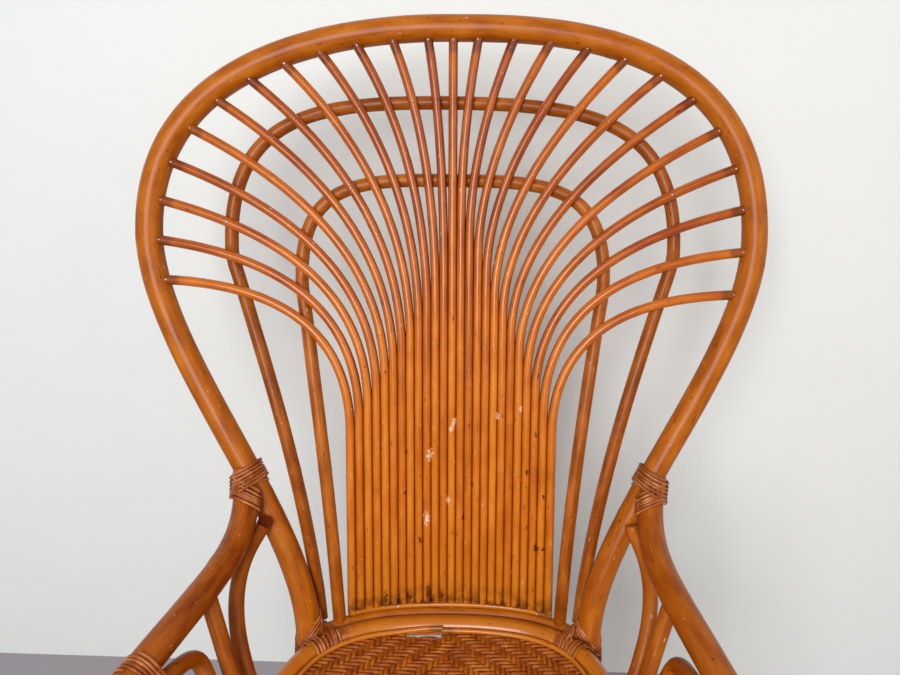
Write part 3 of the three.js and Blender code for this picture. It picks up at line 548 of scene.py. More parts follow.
    def spindle(self, place):
        """The spindle at a place right or left of the middle: upright, then bent to the hoop."""
        fan = self.chair.fan
        half = place * fan.pitch
        share = (fan.per_side - abs(place)) / (fan.per_side - 1)
        tip = self.tip(place)
        if place:
            start_inner = fan.start_inner + math.copysign(fan.bend_skew, place)
            start = min(fan.start_outer + (start_inner - fan.start_outer) * share, tip[2] - fan.pole)
            top = min(fan.top_outer + (fan.top_inner - fan.top_outer) * share, tip[2] - fan.pole / 2)
            t = np.linspace(0, 1, 61)[:, None]
            bent = (1 - t) ** 2 * (half, start) + 2 * (1 - t) * t * (half, top) + t**2 * (tip[0], tip[2])
            rises = np.linspace(self.spindle_foot, start, 40, endpoint=False)
            flat = np.vstack([np.stack([np.full(40, half), rises], axis=1), bent])
        else:
            flat = np.stack([np.zeros(100), np.linspace(self.spindle_foot, tip[2], 100)], axis=1)
        run = lengths(flat)
        gone = run / run[-1]
        foot_depth = self.rail_at(abs(half))[1] - self.leaning(half, self.spindle_foot)[1]
        depth = foot_depth * (1 - gone) - fan.tip_forward * gone
        return np.array([self.leaning(x, rise, back) for (x, rise), back in zip(flat, depth)])

    def draw_fan(self):
        reach = self.chair.fan.per_side
        self.spindles = {place: self.spindle(place) for place in range(-reach, reach + 1)}

    def laid_behind(self, flat, foot_depth):
        """Lays an arch against the back of every spindle that it crosses; its legs run on to their feet."""
        arch_radius = self.chair.arch.pole / 2
        setback = (self.chair.fan.pole / 2 + arch_radius + 2 * FIT) / math.cos(self.chair.back.lean)
        hits = [hit for hit in (crossing(flat, spindle) for spindle in self.spindles.values()) if hit]
        knots = sorted((place, touch[1] + setback) for place, touch in hits)
        knots.append((len(flat) - 1, foot_depth))
        depth = np.interp(np.arange(len(flat)), *zip(*knots))
        soft = np.convolve(np.pad(depth, 4, mode="edge"), np.full(9, 1 / 9), mode="valid")
        soft[-1] = depth[-1]
        return np.stack([flat[:, 0], soft, flat[:, 2]], axis=1)

    def arch(self, which, foot):
        arch = self.chair.arch
        parts = ("rise", "half", "wide_rise", "crown_ease", "side_ease")
        rise, half, wide_rise, crown_ease, side_ease = (getattr(arch, f"{which}_{part}") for part in parts)
        halves = []
        for side in (-1, 1):
            wide = self.leaning(side * half, wide_rise)
            base = foot * (side, 1, 1)
            crown = bezier(
                self.leaning(0, rise),
                self.leaning(side * crown_ease, rise),
                self.leaning(side * half, wide_rise + side_ease),
                wide,
            )
            low = base + arch.foot_ease * unit(point(side * FOOT_LEAN[which], 0, 1))
            leg = bezier(wide, self.leaning(side * half, wide_rise - arch.leg_ease), low, base)
            halves.append(self.laid_behind(joined(crown, leg), foot[1]))
        return left_to_right(*halves)

    def draw_arches(self):
        arch, back = self.chair.arch, self.chair.back
        self.arch_radius = arch.pole / 2
        hugging = self.hoop_radius + self.arch_radius
        large_foot = self.leaning(
            back.seat_half - hugging * math.sin(arch.large_foot_turn),
            arch.large_foot_rise,
            hugging * math.cos(arch.large_foot_turn) / math.cos(back.lean),
        )
        small_foot = self.rail_at(self.strip_reach + arch.small_from_strip + self.arch_radius)
        self.large_arch = self.arch("large", large_foot)
        self.small_arch = self.arch("small", small_foot)

    def draw_arms(self):
        arm = self.chair.arm
        self.arm_radius = arm.pole / 2
        self.side_radius = arm.side_pole / 2
        self.arm_root = self.on_waist(arm.root_rise)
        knee = point(arm.knee_half, -arm.knee_forward, arm.knee_rise)
        heading = point(
            math.sin(arm.flare) * math.cos(arm.drop),
            -math.cos(arm.flare) * math.cos(arm.drop),
            -math.sin(arm.drop),
        )
        forward = -self.ring_front[:, 1]
        self.leg_contact = spot(self.ring_front, forward, arm.leg_on_ring)
        self.leg_heading = along(self.ring_front, forward, arm.leg_on_ring)
        self.leg_side = point(-self.leg_heading[1], self.leg_heading[0], 0)
        self.leg_at_ring = self.leg_contact + self.leg_side * (self.ring_radius + self.arm_radius + 2 * FIT)
        foot = self.leg_at_ring + self.leg_side * arm.foot_splay
        foot[2] = -self.chair.seat.height
        leg_run = unit(self.leg_at_ring - foot)
        leg_top = self.leg_at_ring + leg_run * arm.leg_straight
        self.arm_upper = bezier(
            self.arm_root,
            point(arm.neck_half, -arm.neck_forward, arm.neck_rise),
            knee - heading * arm.knee_ease,
            knee,
            120,
        )
        self.arm_lower = bezier(
            knee, knee + heading * arm.front_ease, leg_top + leg_run * arm.leg_ease, leg_top, 120
        )
        leg = leg_top + np.linspace(0, 1, 40)[:, None] * (foot - leg_run * self.arm_radius - leg_top)
        self.arm = joined(self.arm_upper, self.arm_lower, leg)
        self.draw_arm_supports()

    def draw_arm_supports(self):
        arm = self.chair.arm
        top = self.on_waist(arm.brace_rise) + self.frontward * (self.hoop_radius + self.side_radius + FIT)
        belly = point(arm.brace_half, -arm.brace_forward, arm.brace_bow)
        self.brace = bezier(top, top - UP * arm.brace_drop, belly, self.on_ring(arm.brace_on_ring))
        strut_top, _ = self.on_arm(arm.strut_on_arm)
        strut_foot = self.on_ring(arm.strut_on_ring)
        self.strut = strut_foot + np.linspace(0, 1, 40)[:, None] * (strut_top - strut_foot)
        rear = self.on_ring(arm.loop_rear)
        crest = point(arm.loop_half, -arm.loop_forward, arm.loop_rise)
        shoulder_lift, front_share = 0.12, 0.4
        shoulder = (rear + crest) / 2 + point(0, 0, arm.loop_rise * shoulder_lift)
        front = self.on_ring(arm.loop_front)
        on_arm = np.linspace(arm.loop_on_arm_rear, arm.loop_on_arm_front, 3)
        under = [self.under_arm(forward) for forward in on_arm]
        down = front + front_share * (under[-1] - front)
        self.loop = through([rear, shoulder, crest, *under, down, front])

    def on_arm(self, forward):
        """The arm at a distance in front of the seat's rear line: its place and its heading."""
        run = self.arm_upper if forward < self.chair.arm.knee_forward else self.arm_lower
        return spot(run, -run[:, 1], forward), along(run, -run[:, 1], forward)

    def under_arm(self, forward):
        place, heading = self.on_arm(forward)
        inward = point(-1, 0, -1)
        inward = unit(inward - heading * inward.dot(heading))
        return place + inward * (self.arm_radius + self.side_radius + 3 * FIT)

    def leg_spot(self, path, height):
        low = path[np.argmin(path[:, 2]) :: -1]
        return spot(low, low[:, 2], height - self.chair.seat.height)

    def draw_underframe(self):
        leg, seat = self.chair.leg, self.chair.seat
        legs = self.hoop_low, self.arm[len(self.arm_upper) :]
        rear_side, front_side = [self.leg_spot(path, leg.side_height) for path in legs]
        rear_cross, front_cross = [self.leg_spot(path, leg.cross_height) for path in legs]
        share = np.linspace(0, 1, 60)[:, None]
        self.side_stretcher = rear_side + share * (front_side - rear_side)
        self.rear_stretcher = rear_cross * MIRROR + share * (rear_cross - rear_cross * MIRROR)
        self.front_stretcher = front_cross * MIRROR + share * (front_cross - front_cross * MIRROR)
        # The bearers lie under the ring, flat against flat
        ring_flat, bearer_flat = math.cos(math.pi / 10), math.cos(math.pi / 8)
        drop = self.ring_radius * ring_flat + seat.bearer_pole / 2 * bearer_flat + FIT
        self.bearers = []
        for forward in (seat.rear_bearer, seat.front_bearer):
            reach = self.on_ring(forward)[0] + self.ring_radius / 2
            end = point(reach, -forward, -drop)
            self.bearers.append(end * MIRROR + share * (end - end * MIRROR))

    def trim_half(self, lift):
        """Half of the trim, rolled up round the ring toward its rear end by the lift."""
        radius = self.chair.seat.trim_pole / 2
        reach = self.ring_radius + radius + FIT
        rest = math.asin((radius + FIT) / reach)
        lift_end, lift_fade = 15 * MM, 60 * MM
        start = 1 - smoothstep((self.ring_half[:, 0] - lift_end) / lift_fade)
        behind = self.ring_half[:, 1] > -self.chair.seat.side_forward
        angle = rest + lift * start * behind
        # It makes room for the front legs' bindings
        room, room_end, room_blend = 4.8 * MM, 48 * MM, 26 * MM
        off_leg = np.linalg.norm(self.ring_half - self.leg_contact, axis=1)
        step = smoothstep((room_end - off_leg) / room_blend)
        inside = self.beside_ring(self.ring_half, -1.0) - self.ring_half
        path = self.ring_half + inside * (reach * np.cos(angle) + step * room)[:, None]
        path[:, 2] = reach * np.sin(angle)
        return path


def feed(tree, node, inputs):
    """Gives each input of a node its value or the socket that feeds it."""
    for key, value in inputs.items():
        if isinstance(value, bpy.types.NodeSocket):
            tree.links.new(value, node.inputs[key])
        else:
            node.inputs[key].default_value = value


def add(tree, kind, *inputs, out=0, **settings):
    """Adds a node and gives one of its outputs; inputs come in its order, or by name in a dictionary."""
    made = tree.nodes.new(kind)
    for name, value in settings.items():
        setattr(made, name, value)
    for place, value in enumerate(inputs):
        feed(tree, made, value if isinstance(value, dict) else {place: value})
    return made.outputs[out] if made.outputs else None


def new_tree(name, *numbers, whole="Sides"):
    """An empty Geometry Nodes tree with threads in, a mesh out, numbers, one whole number and a material."""
    tree = bpy.data.node_groups.new(name, "GeometryNodeTree")
    kinds = {"Threads": "Geometry", **dict.fromkeys(numbers, "Float"), whole: "Int", "Material": "Material"}
    for label, kind in kinds.items():
        tree.interface.new_socket(label, in_out="INPUT", socket_type="NodeSocket" + kind)
    tree.interface.new_socket("Mesh", in_out="OUTPUT", socket_type="NodeSocketGeometry")
    return tree, add(tree, "NodeGroupInput").node.outputs


def swept(tree, curve, profile, radius=1.0, **options):
    """Sweeps a profile along a curve and stores the grain: the run along it, then the place round it."""
    vector = {"data_type": "FLOAT_VECTOR"}
    position = add(tree, "GeometryNodeInputPosition")
    turned = add(
        tree, "GeometryNodeStoreNamedAttribute", profile, {"Name": "round", "Value": position}, **vector
    )
    mesh = add(tree, "GeometryNodeCurveToMesh", curve, turned, {"Fill Caps": True, **options})
    run = add(tree, "GeometryNodeInputNamedAttribute", {"Name": "along"})
    side = add(tree, "GeometryNodeInputNamedAttribute", {"Name": "round"}, **vector)
    sized = add(tree, "ShaderNodeVectorMath", side, {"Scale": radius}, operation="SCALE")
    axes = add(tree, "ShaderNodeSeparateXYZ", sized).node.outputs
    grain = add(tree, "ShaderNodeCombineXYZ", run, axes[0], axes[1])
    return add(tree, "GeometryNodeStoreNamedAttribute", mesh, {"Name": "grain", "Value": grain}, **vector)


def close_tree(tree, mesh, material):
    """Ends a tree with smooth shading, real geometry and its material."""
    smooth = add(tree, "GeometryNodeSetShadeSmooth", mesh)
    real = add(tree, "GeometryNodeRealizeInstances", smooth)
    add(tree, "NodeGroupOutput", add(tree, "GeometryNodeSetMaterial", real, {"Material": material}))
    return tree


def pole_tree():
    """A bent rattan pole: swollen at its growth rings, a little uneven, with its grain stored on it."""
    numbers = "Radius", "Spacing", "Ring spacing", "Swelling", "Unevenness", "Start", "Tone"
    tree, given = new_tree("Rattan pole", *numbers)
    curve = add(tree, "GeometryNodeMeshToCurve", given["Threads"])
    even = add(tree, "GeometryNodeResampleCurve", curve, {"Length": given["Spacing"]}, mode="LENGTH")
    length = add(tree, "GeometryNodeSplineParameter", out="Length")
    place = add(tree, "ShaderNodeMath", length, given["Start"], operation="ADD")
    turns = add(tree, "ShaderNodeMath", place, given["Ring spacing"], operation="DIVIDE")
    part = add(tree, "ShaderNodeMath", turns, operation="FRACT")
    centred = add(tree, "ShaderNodeMath", part, 0.5, operation="SUBTRACT")
    away = add(tree, "ShaderNodeMath", centred, given["Ring spacing"], operation="MULTIPLY")
    # The pole swells over about 5 mm to each side of a growth ring
    shares = add(tree, "ShaderNodeMath", away, 5 * MM, operation="DIVIDE")
    square = add(tree, "ShaderNodeMath", shares, shares, operation="MULTIPLY")
    fall = add(tree, "ShaderNodeMath", square, -1.0, operation="MULTIPLY")
    bell = add(tree, "ShaderNodeMath", fall, operation="EXPONENT")
    swollen = add(tree, "ShaderNodeMath", bell, given["Swelling"], 1.0, operation="MULTIPLY_ADD")
    drift = add(tree, "ShaderNodeTexNoise", {"W": place, "Scale": 14.0, "Detail": 2.0}, noise_dimensions="1D")
    level = add(tree, "ShaderNodeMath", drift, 0.5, operation="SUBTRACT")
    factor = add(tree, "ShaderNodeMath", level, given["Unevenness"], swollen, operation="MULTIPLY_ADD")
    scale = add(tree, "ShaderNodeMath", factor, given["Radius"], operation="MULTIPLY")
    total = add(tree, "GeometryNodeSplineLength", out="Length")
    to_end = add(tree, "ShaderNodeMath", total, length, operation="SUBTRACT")
    ringed = even
    for label, value in {"along": place, "ring": away, "foot": length, "tip": to_end}.items():
        ringed = add(tree, "GeometryNodeStoreNamedAttribute", ringed, {"Name": label, "Value": value})
    circle = add(tree, "GeometryNodeCurvePrimitiveCircle", {"Resolution": given["Sides"], "Radius": 1.0})
    grained = swept(tree, ringed, circle, given["Radius"], Scale=scale)
    toned = add(tree, "GeometryNodeStoreNamedAttribute", grained, {"Name": "tone", "Value": given["Tone"]})
    return close_tree(tree, toned, given["Material"])


def strand_tree():
    """A flat strand that follows its threads with its broad side turned to their outward direction."""
    tree, given = new_tree("Flat strand", "Width", "Thickness", "Wave", "Floats")
    curve = add(tree, "GeometryNodeMeshToCurve", given["Threads"])
    row = add(tree, "GeometryNodeInputNamedAttribute", {"Name": "crossing"})
    period = add(tree, "ShaderNodeMath", math.pi, given["Floats"], operation="DIVIDE")
    phase = add(tree, "ShaderNodeMath", row, 0.5, operation="ADD")
    turn = add(tree, "ShaderNodeMath", phase, period, operation="MULTIPLY")
    swing = add(tree, "ShaderNodeMath", turn, operation="SINE")
    # The strand lies flat over the others and dives steeply between them
    steep = add(tree, "ShaderNodeMath", swing, 1.7, operation="MULTIPLY")
    flat_top = add(tree, "ShaderNodeClamp", steep, -1.0, 1.0)
    rise = add(tree, "ShaderNodeMath", flat_top, given["Wave"], operation="MULTIPLY")
    offset = add(tree, "ShaderNodeCombineXYZ", {2: rise})
    woven = add(tree, "GeometryNodeSetPosition", curve, {"Offset": offset})
    length = add(tree, "GeometryNodeSplineParameter", out="Length")
    measured = add(tree, "GeometryNodeStoreNamedAttribute", woven, {"Name": "along", "Value": length})
    outward = add(tree, "GeometryNodeInputNamedAttribute", {"Name": "outward"}, data_type="FLOAT_VECTOR")
    faced = add(tree, "GeometryNodeSetCurveNormal", measured, {"Normal": outward}, mode="FREE")
    circle = add(tree, "GeometryNodeCurvePrimitiveCircle", {"Resolution": given["Sides"], "Radius": 0.5})
    shape = add(tree, "ShaderNodeCombineXYZ", given["Thickness"], given["Width"], 1.0)
    flattened = add(tree, "GeometryNodeTransform", circle, {"Scale": shape})
    return close_tree(tree, swept(tree, faced, flattened), given["Material"])


def nail_tree():
    """Low domed nail heads on points, each turned to its outward direction."""
    tree, given = new_tree("Nail heads", "Radius", whole="Seed")
    ball = add(tree, "GeometryNodeMeshUVSphere", {"Segments": 10, "Rings": 6, "Radius": 1.0})
    dome = add(tree, "GeometryNodeTransform", ball, {"Scale": (1.0, 1.0, 0.5)})
    outward = add(tree, "GeometryNodeInputNamedAttribute", {"Name": "outward"}, data_type="FLOAT_VECTOR")
    facing = add(tree, "FunctionNodeAlignRotationToVector", {"Vector": outward}, axis="Z")
    spread = {"Min": 0.8, "Max": 1.15, "Seed": given["Seed"]}
    share = add(tree, "FunctionNodeRandomValue", spread, out="Value", data_type="FLOAT")
    scale = add(tree, "ShaderNodeMath", share, given["Radius"], operation="MULTIPLY")
    points = add(tree, "GeometryNodeMeshToPoints", given["Threads"])
    heads = {"Instance": dome, "Rotation": facing, "Scale": scale}
    return close_tree(tree, add(tree, "GeometryNodeInstanceOnPoints", points, heads), given["Material"])


def thread_mesh(name, paths, attributes=None):
    """A mesh of bare runs of edges, one for each path, with values on its points."""
    mesh = bpy.data.meshes.new(name)
    edges = []
    count = 0
    for path in paths:
        edges += [(count + i, count + i + 1) for i in range(len(path) - 1)]
        count += len(path)
    mesh.from_pydata(np.vstack(paths).tolist(), edges, [])
    for label, values in (attributes or {}).items():
        flat = np.concatenate(values).astype(np.float32)
        kind = "FLOAT_VECTOR" if flat.ndim == 2 else "FLOAT"
        layer = mesh.attributes.new(label, kind, "POINT")
        layer.data.foreach_set("vector" if flat.ndim == 2 else "value", flat.ravel())
    return mesh


def grown(name, threads, tree, values):
    """Runs a tree on threads and keeps the result as a plain mesh."""
    piece = bpy.data.objects.new(name, threads)
    bpy.context.scene.collection.objects.link(piece)
    modifier = piece.modifiers.new(tree.name, "NODES")
    modifier.node_group = tree
    for item in tree.interface.items_tree:
        if item.in_out == "INPUT" and item.name in values:
            modifier[item.identifier] = values[item.name]
    evaluated = piece.evaluated_get(bpy.context.evaluated_depsgraph_get())
    plain = bpy.data.meshes.new_from_object(evaluated)
    piece.modifiers.remove(modifier)
    piece.data = plain
    plain.name = name
    bpy.data.meshes.remove(threads)
    if not plain.polygons:
        raise RuntimeError(f"{name} came out empty")
    return piece


def settle(piece, slot, *nodes):
    """Lets a finished piece ride on the chair in place of its nodes."""
    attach(piece, "root")
    if nodes:
        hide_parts(*nodes)
    return piece


def stand_on_floor(piece):
    """Cuts a piece off flat at the floor."""
    work = bmesh.new()
    work.from_mesh(piece.data)
    parts = work.verts[:] + work.edges[:] + work.faces[:]
    cut = bmesh.ops.bisect_plane(work, geom=parts, plane_co=(0, 0, 0), plane_no=(0, 0, 1), clear_inner=True)
    rim = [e for e in cut["geom_cut"] if isinstance(e, bmesh.types.BMEdge)]
    bmesh.ops.edgeloop_fill(work, edges=rim)
    work.to_mesh(piece.data)
    work.free()


def bare_end(piece, place, material):
    """Gives the cut face of a pole nearest to a place a material of its own."""
    piece.data.materials.append(material)
    caps = [face for face in piece.data.polygons if len(face.vertices) > 4]
    face = min(caps, key=lambda cap: (cap.center - Vector(place)).length)
    face.material_index = len(piece.data.materials) - 1
    face.use_smooth = False


class Workshop:
    """Trees, materials and lines that the operators share."""

    trees = {}
    materials = {}
    lines = None
    poles_made = 0

    @classmethod
    def open(cls, chair):
        cls.lines = ChairLines(chair)
        cls.trees = {"pole": pole_tree(), "strand": strand_tree(), "nail": nail_tree()}
        cls.materials = make_materials(chair.colours)
        cls.poles_made = 0

    @classmethod
    def pole(
        cls, name, path, radius, material, sides=14, spacing=5 * MM, rings=210 * MM, swelling=0.035
    ):
        """One pole along a path; each pole starts at its own place in the grain and has its own tone."""
        cls.poles_made += 1
        golden = 0.618034
        turn = (cls.poles_made * golden) % 1.0
        threads = thread_mesh(name, [path + cls.lines.home])
        values = {
            "Radius": radius,
            "Spacing": spacing,
            "Sides": sides,
            "Ring spacing": rings,
            "Swelling": swelling,
            "Unevenness": 0.03,
            "Start": 3.7 * turn + 0.31 * cls.poles_made,
            "Tone": turn,
            "Material": cls.materials[material],
        }
        return settle(grown(name, threads, cls.trees["pole"], values), "rattan_pole", name)

    @classmethod
    def pole_pair(cls, name, path, radius, material, **options):
        made = []
        for side, flip in (("right", 1), ("left", -1)):
            made.append(cls.pole(f"{name}_{side}", path * (flip, 1, 1), radius, material, **options))
        return made

    @classmethod
    def strands(cls, name, paths, outward, crossings, width, thickness, sides, material, wave=0.0, floats=1):
        """Flat strands along paths, each facing outward; a woven one rises and dives by the wave."""
        threads = thread_mesh(name, paths, {"crossing": crossings, "outward": outward})
        values = {
            "Width": width,
            "Thickness": thickness,
            "Sides": sides,
            "Wave": wave,
            "Floats": float(floats),
            "Material": cls.materials[material],
        }
        return grown(name, threads, cls.trees["strand"], values)


def make_materials(colours):
    return {
        "hoop": lacquered_rattan("Lacquered rattan hoop", colours, "hoop"),
        "fan": lacquered_rattan("Lacquered rattan spindles", colours, "fan", grooved=True),
        "arch": lacquered_rattan("Lacquered rattan arches", colours, "arch"),
        "arm": lacquered_rattan("Lacquered rattan arms", colours, "arm"),
        "weave": split_rattan("Woven rattan core", colours, "weave", 0.42),
        "peel": split_rattan("Rattan peel", colours, "peel", 0.34),
        "end": end_grain(colours),
        "nail": nail_steel(colours),
    }


def opaque(colour_value):
    return (*colour_value, 1.0)


def new_material(name):
    material = bpy.data.materials.new(name)
    material.use_nodes = True
    tree = material.node_tree
    return material, tree, tree.nodes["Principled BSDF"]


def streaks(tree, grain, length, width, detail):
    """Noise drawn out along the grain, about this long and wide in millimetres."""
    scale = (1 / (length * MM), 1 / (width * MM), 1 / (width * MM))
    place = add(tree, "ShaderNodeVectorMath", grain, scale, operation="MULTIPLY")
    return add(tree, "ShaderNodeTexNoise", {"Vector": place, "Scale": 1.0, "Detail": detail})


def three_tones(tree, level, colours, family, low, middle, high):
    """The dark, main and pale tones of a family, laid out over a level."""
    shade = add(tree, "ShaderNodeValToRGB", level)
    deep, body, pale = (opaque(getattr(colours, f"{family}_{tone}")) for tone in TONES)
    stops = shade.node.color_ramp.elements
    stops[0].position, stops[0].color = low, deep
    stops[1].position, stops[1].color = high, pale
    stops.new(middle).color = body
    return shade


def coated(tree, shade, coats):
    """Lays coats over a shade, each a mask and a colour."""
    for mask, paint in coats:
        shade = add(tree, "ShaderNodeMix", {0: mask, 6: shade, 7: paint}, out=2, data_type="RGBA")
    return shade


def worn_places(tree, place, marks):
    """A mask over marks of use, their edges ragged over about 3 mm."""
    worn = None
    for across, rise, half_width, half_height in marks:
        centre = (across * MM, 0, Workshop.lines.home[2] + rise * MM)
        reach = (1 / (half_width * MM), 0, 1 / (half_height * MM))
        off = add(tree, "ShaderNodeVectorMath", place, centre, operation="SUBTRACT")
        off = add(tree, "ShaderNodeVectorMath", off, reach, operation="MULTIPLY")
        away = add(tree, "ShaderNodeVectorMath", off, out=1, operation="LENGTH")
        worn = add(tree, "ShaderNodeMath", away, worn, operation="MINIMUM") if worn else away
    ragged = add(tree, "ShaderNodeTexNoise", {"Vector": place, "Scale": 1 / (3 * MM), "Detail": 4.0})
    edge = add(tree, "ShaderNodeMath", ragged, 3.4, worn, operation="MULTIPLY_ADD")
    return add(tree, "ShaderNodeMapRange", edge, 2.25, 2.7, 0.85, 0.0)


def lacquered_rattan(name, colours, family, grooved=False):
    """Debarked rattan, bent, stained and lacquered: fine long streaks, darker growth rings, a soft gloss,
    specks of dark resin, and bare pale flecks where the lacquer has chipped."""
    material, tree, surface = new_material(name)
    groove, bare = opaque(colours.groove), opaque(colours.chip)
    grain = add(tree, "ShaderNodeAttribute", out="Vector", attribute_name="grain")
    stored = {}
    for label in ("ring", "tone", "foot", "tip"):
        stored[label] = add(tree, "ShaderNodeAttribute", out="Fac", attribute_name=label)
    # Fibres about 1.3 mm wide run on for about 70 mm
    fibre = streaks(tree, grain, 70, 1.3, 3.0)
    # Stain lies in clouds about 40 mm long and 12 mm wide
    cloud = streaks(tree, grain, 40, 12, 2.0)
    fibre_share, cloud_share = (0.25, 0.34) if grooved else (0.3, 0.6)
    rest = (1 - fibre_share - cloud_share) / 2
    blend = add(tree, "ShaderNodeMath", fibre, fibre_share, rest, operation="MULTIPLY_ADD")
    blend = add(tree, "ShaderNodeMath", cloud, cloud_share, blend, operation="MULTIPLY_ADD")
    # No two poles have quite the same tone
    lifted = add(tree, "ShaderNodeMath", stored["tone"], 0.11, -0.055, operation="MULTIPLY_ADD")
    level = add(tree, "ShaderNodeMath", blend, lifted, operation="ADD")
    place = add(tree, "ShaderNodeTexCoord", out="Object")
    coats = []
    if grooved:
        height = add(tree, "ShaderNodeSeparateXYZ", place, out=2)
        # The stain has stayed deeper high up, where no back leans on it
        high = add(tree, "ShaderNodeMapRange", height, 0.72, 0.96, 0.0, -0.15)
        level = add(tree, "ShaderNodeMath", level, high, operation="ADD")
        # It has worn to a golden tone close to the seat
        near_seat = add(tree, "ShaderNodeMapRange", height, 0.44, 0.55, 0.6, 0.0)
        coats.append((near_seat, opaque(colours.fan_worn)))
    # Growth rings are dark lines about 1.5 mm wide
    near = add(tree, "ShaderNodeMath", stored["ring"], operation="ABSOLUTE")
    coats.append((add(tree, "ShaderNodeMapRange", near, 0.3 * MM, 1.6 * MM, 0.1, 0.0), groove))
    if grooved:
        # Painted shade darkens the sides that face left and right, where the spindles stand against each
        # other
        normal = add(tree, "ShaderNodeNewGeometry", out="Normal")
        aside = add(tree, "ShaderNodeSeparateXYZ", normal)
        aside = add(tree, "ShaderNodeMath", aside, operation="ABSOLUTE")
        coats.append((add(tree, "ShaderNodeMapRange", aside, 0.68, 0.98, 0.0, 0.85), groove))
        # Dirt has settled at the feet in patches about 12 mm across, and painted shade darkens the nailed
        # tips where they meet the hoop
        low = add(tree, "ShaderNodeMapRange", stored["foot"], 2 * MM, 28 * MM, 0.75, 0.0)
        patch = add(tree, "ShaderNodeTexNoise", {"Vector": place, "Scale": 1 / (12 * MM), "Detail": 2.0})
        patch = add(tree, "ShaderNodeMapRange", patch, 0.4, 0.58, 0.0, 1.0)
        dirt = add(tree, "ShaderNodeMath", low, patch, operation="MULTIPLY")
        end = add(tree, "ShaderNodeMapRange", stored["tip"], 14 * MM, 20 * MM, 0.55, 0.0)
        coats.append((add(tree, "ShaderNodeMath", dirt, end, operation="MAXIMUM"), groove))
    # Dark specks about 4 mm long and pale chips about 6 mm long
    speck = streaks(tree, grain, 9, 3, 3.0)
    coats.append((add(tree, "ShaderNodeMapRange", speck, 0.285, 0.325, 0.8, 0.0), groove))
    coats.append((add(tree, "ShaderNodeMapRange", speck, 0.715, 0.745, 0.0, 0.6), bare))
    if grooved:
        coats.append((worn_places(tree, place, WEAR["chip"]), bare))
        coats.append((worn_places(tree, place, WEAR["knot"]), groove))
    shade = coated(tree, three_tones(tree, level, colours, family, 0.28, 0.48, 0.72), coats)
    smoothest = 0.3 if grooved else 0.36
    looks = {
        "Base Color": shade,
        "Roughness": add(tree, "ShaderNodeMapRange", cloud, 0.3, 0.7, smoothest, 0.45),
        "Normal": add(tree, "ShaderNodeBump", {"Strength": 0.12, "Distance": 0.5 * MM, "Height": fibre}),
        "IOR": 1.5,
        "Specular IOR Level": 0.22 if grooved else 0.18,
        "Coat Weight": 0.55 if grooved else 0.14,
        "Coat Roughness": 0.2 if grooved else 0.28,
    }
    feed(tree, surface, looks)
    return material


def split_rattan(name, colours, family, gloss):
    """Rattan split into flat strands: strong straight fibres and a satin face."""
    material, tree, surface = new_material(name)
    grain = add(tree, "ShaderNodeAttribute", out="Vector", attribute_name="grain")
    place = add(tree, "ShaderNodeTexCoord", out="Object")
    # Fibres about 0.8 mm wide run on for about 30 mm
    fibre = streaks(tree, grain, 30, 0.8, 2.0)
    # Strands differ in colour over about 14 mm
    cloud = add(tree, "ShaderNodeTexNoise", {"Vector": place, "Scale": 1 / (14 * MM), "Detail": 2.0})
    blend = add(tree, "ShaderNodeMath", fibre, 0.5, operation="MULTIPLY")
    level = add(tree, "ShaderNodeMath", cloud, 0.5, blend, operation="MULTIPLY_ADD")
    looks = {
        "Base Color": three_tones(tree, level, colours, family, 0.3, 0.5, 0.7),
        "Roughness": add(tree, "ShaderNodeMapRange", cloud, 0.3, 0.7, gloss, gloss + 0.16),
        "Normal": add(tree, "ShaderNodeBump", {"Strength": 0.5, "Distance": 0.4 * MM, "Height": fibre}),
        "IOR": 1.5,
        "Specular IOR Level": 0.3,
        "Coat Weight": 0.1,
        "Coat Roughness": 0.25,
    }
    feed(tree, surface, looks)
    return material


def end_grain(colours):
    """Cut end of a rattan pole: dark red, dull, with open pores about 0.6 mm across."""
    material, tree, surface = new_material("Rattan end grain")
    place = add(tree, "ShaderNodeTexCoord", out="Object")
    pores = add(tree, "ShaderNodeTexNoise", {"Vector": place, "Scale": 1 / (0.6 * MM), "Detail": 1.0})
    solid = add(tree, "ShaderNodeMapRange", pores, 0.4, 0.65, 0.0, 1.0)
    shade = coated(tree, opaque(colours.groove), [(solid, opaque(colours.arm_deep))])
    feed(tree, surface, {"Base Color": shade, "Roughness": 0.8, "Specular IOR Level": 0.1})
    return material


def nail_steel(colours):
    """Drawn steel nails, lacquered over with the chair: dull silver with spots of brown lacquer."""
    material, tree, surface = new_material("Lacquered steel nails")
    place = add(tree, "ShaderNodeTexCoord", out="Object")
    # Spots of lacquer about 1 mm across
    spots = add(tree, "ShaderNodeTexNoise", {"Vector": place, "Scale": 1 / (1 * MM), "Detail": 1.0})
    cover = add(tree, "ShaderNodeMapRange", spots, 0.4, 0.6, 0.0, 1.0)
    shade = coated(tree, opaque(colours.nail), [(cover, opaque(colours.arch_body))])
    feed(tree, surface, {"Base Color": shade, "Metallic": 0.8, "Roughness": 0.35})
    return material


class CHAIR_OT_hoop(bpy.types.Operator):
    """Bend the outer hoop with its two rear legs"""

    bl_idname = "peacock_chair.hoop"
    bl_label = "Outer hoop"

    def execute(self, context):
        Workshop.open(context.scene.peacock_chair)
        lines = Workshop.lines
        hoop = Workshop.pole(
            "outer_hoop", lines.hoop, lines.hoop_radius, "hoop", sides=24, rings=340 * MM, swelling=0.02
        )
        stand_on_floor(hoop)
        return {"FINISHED"}


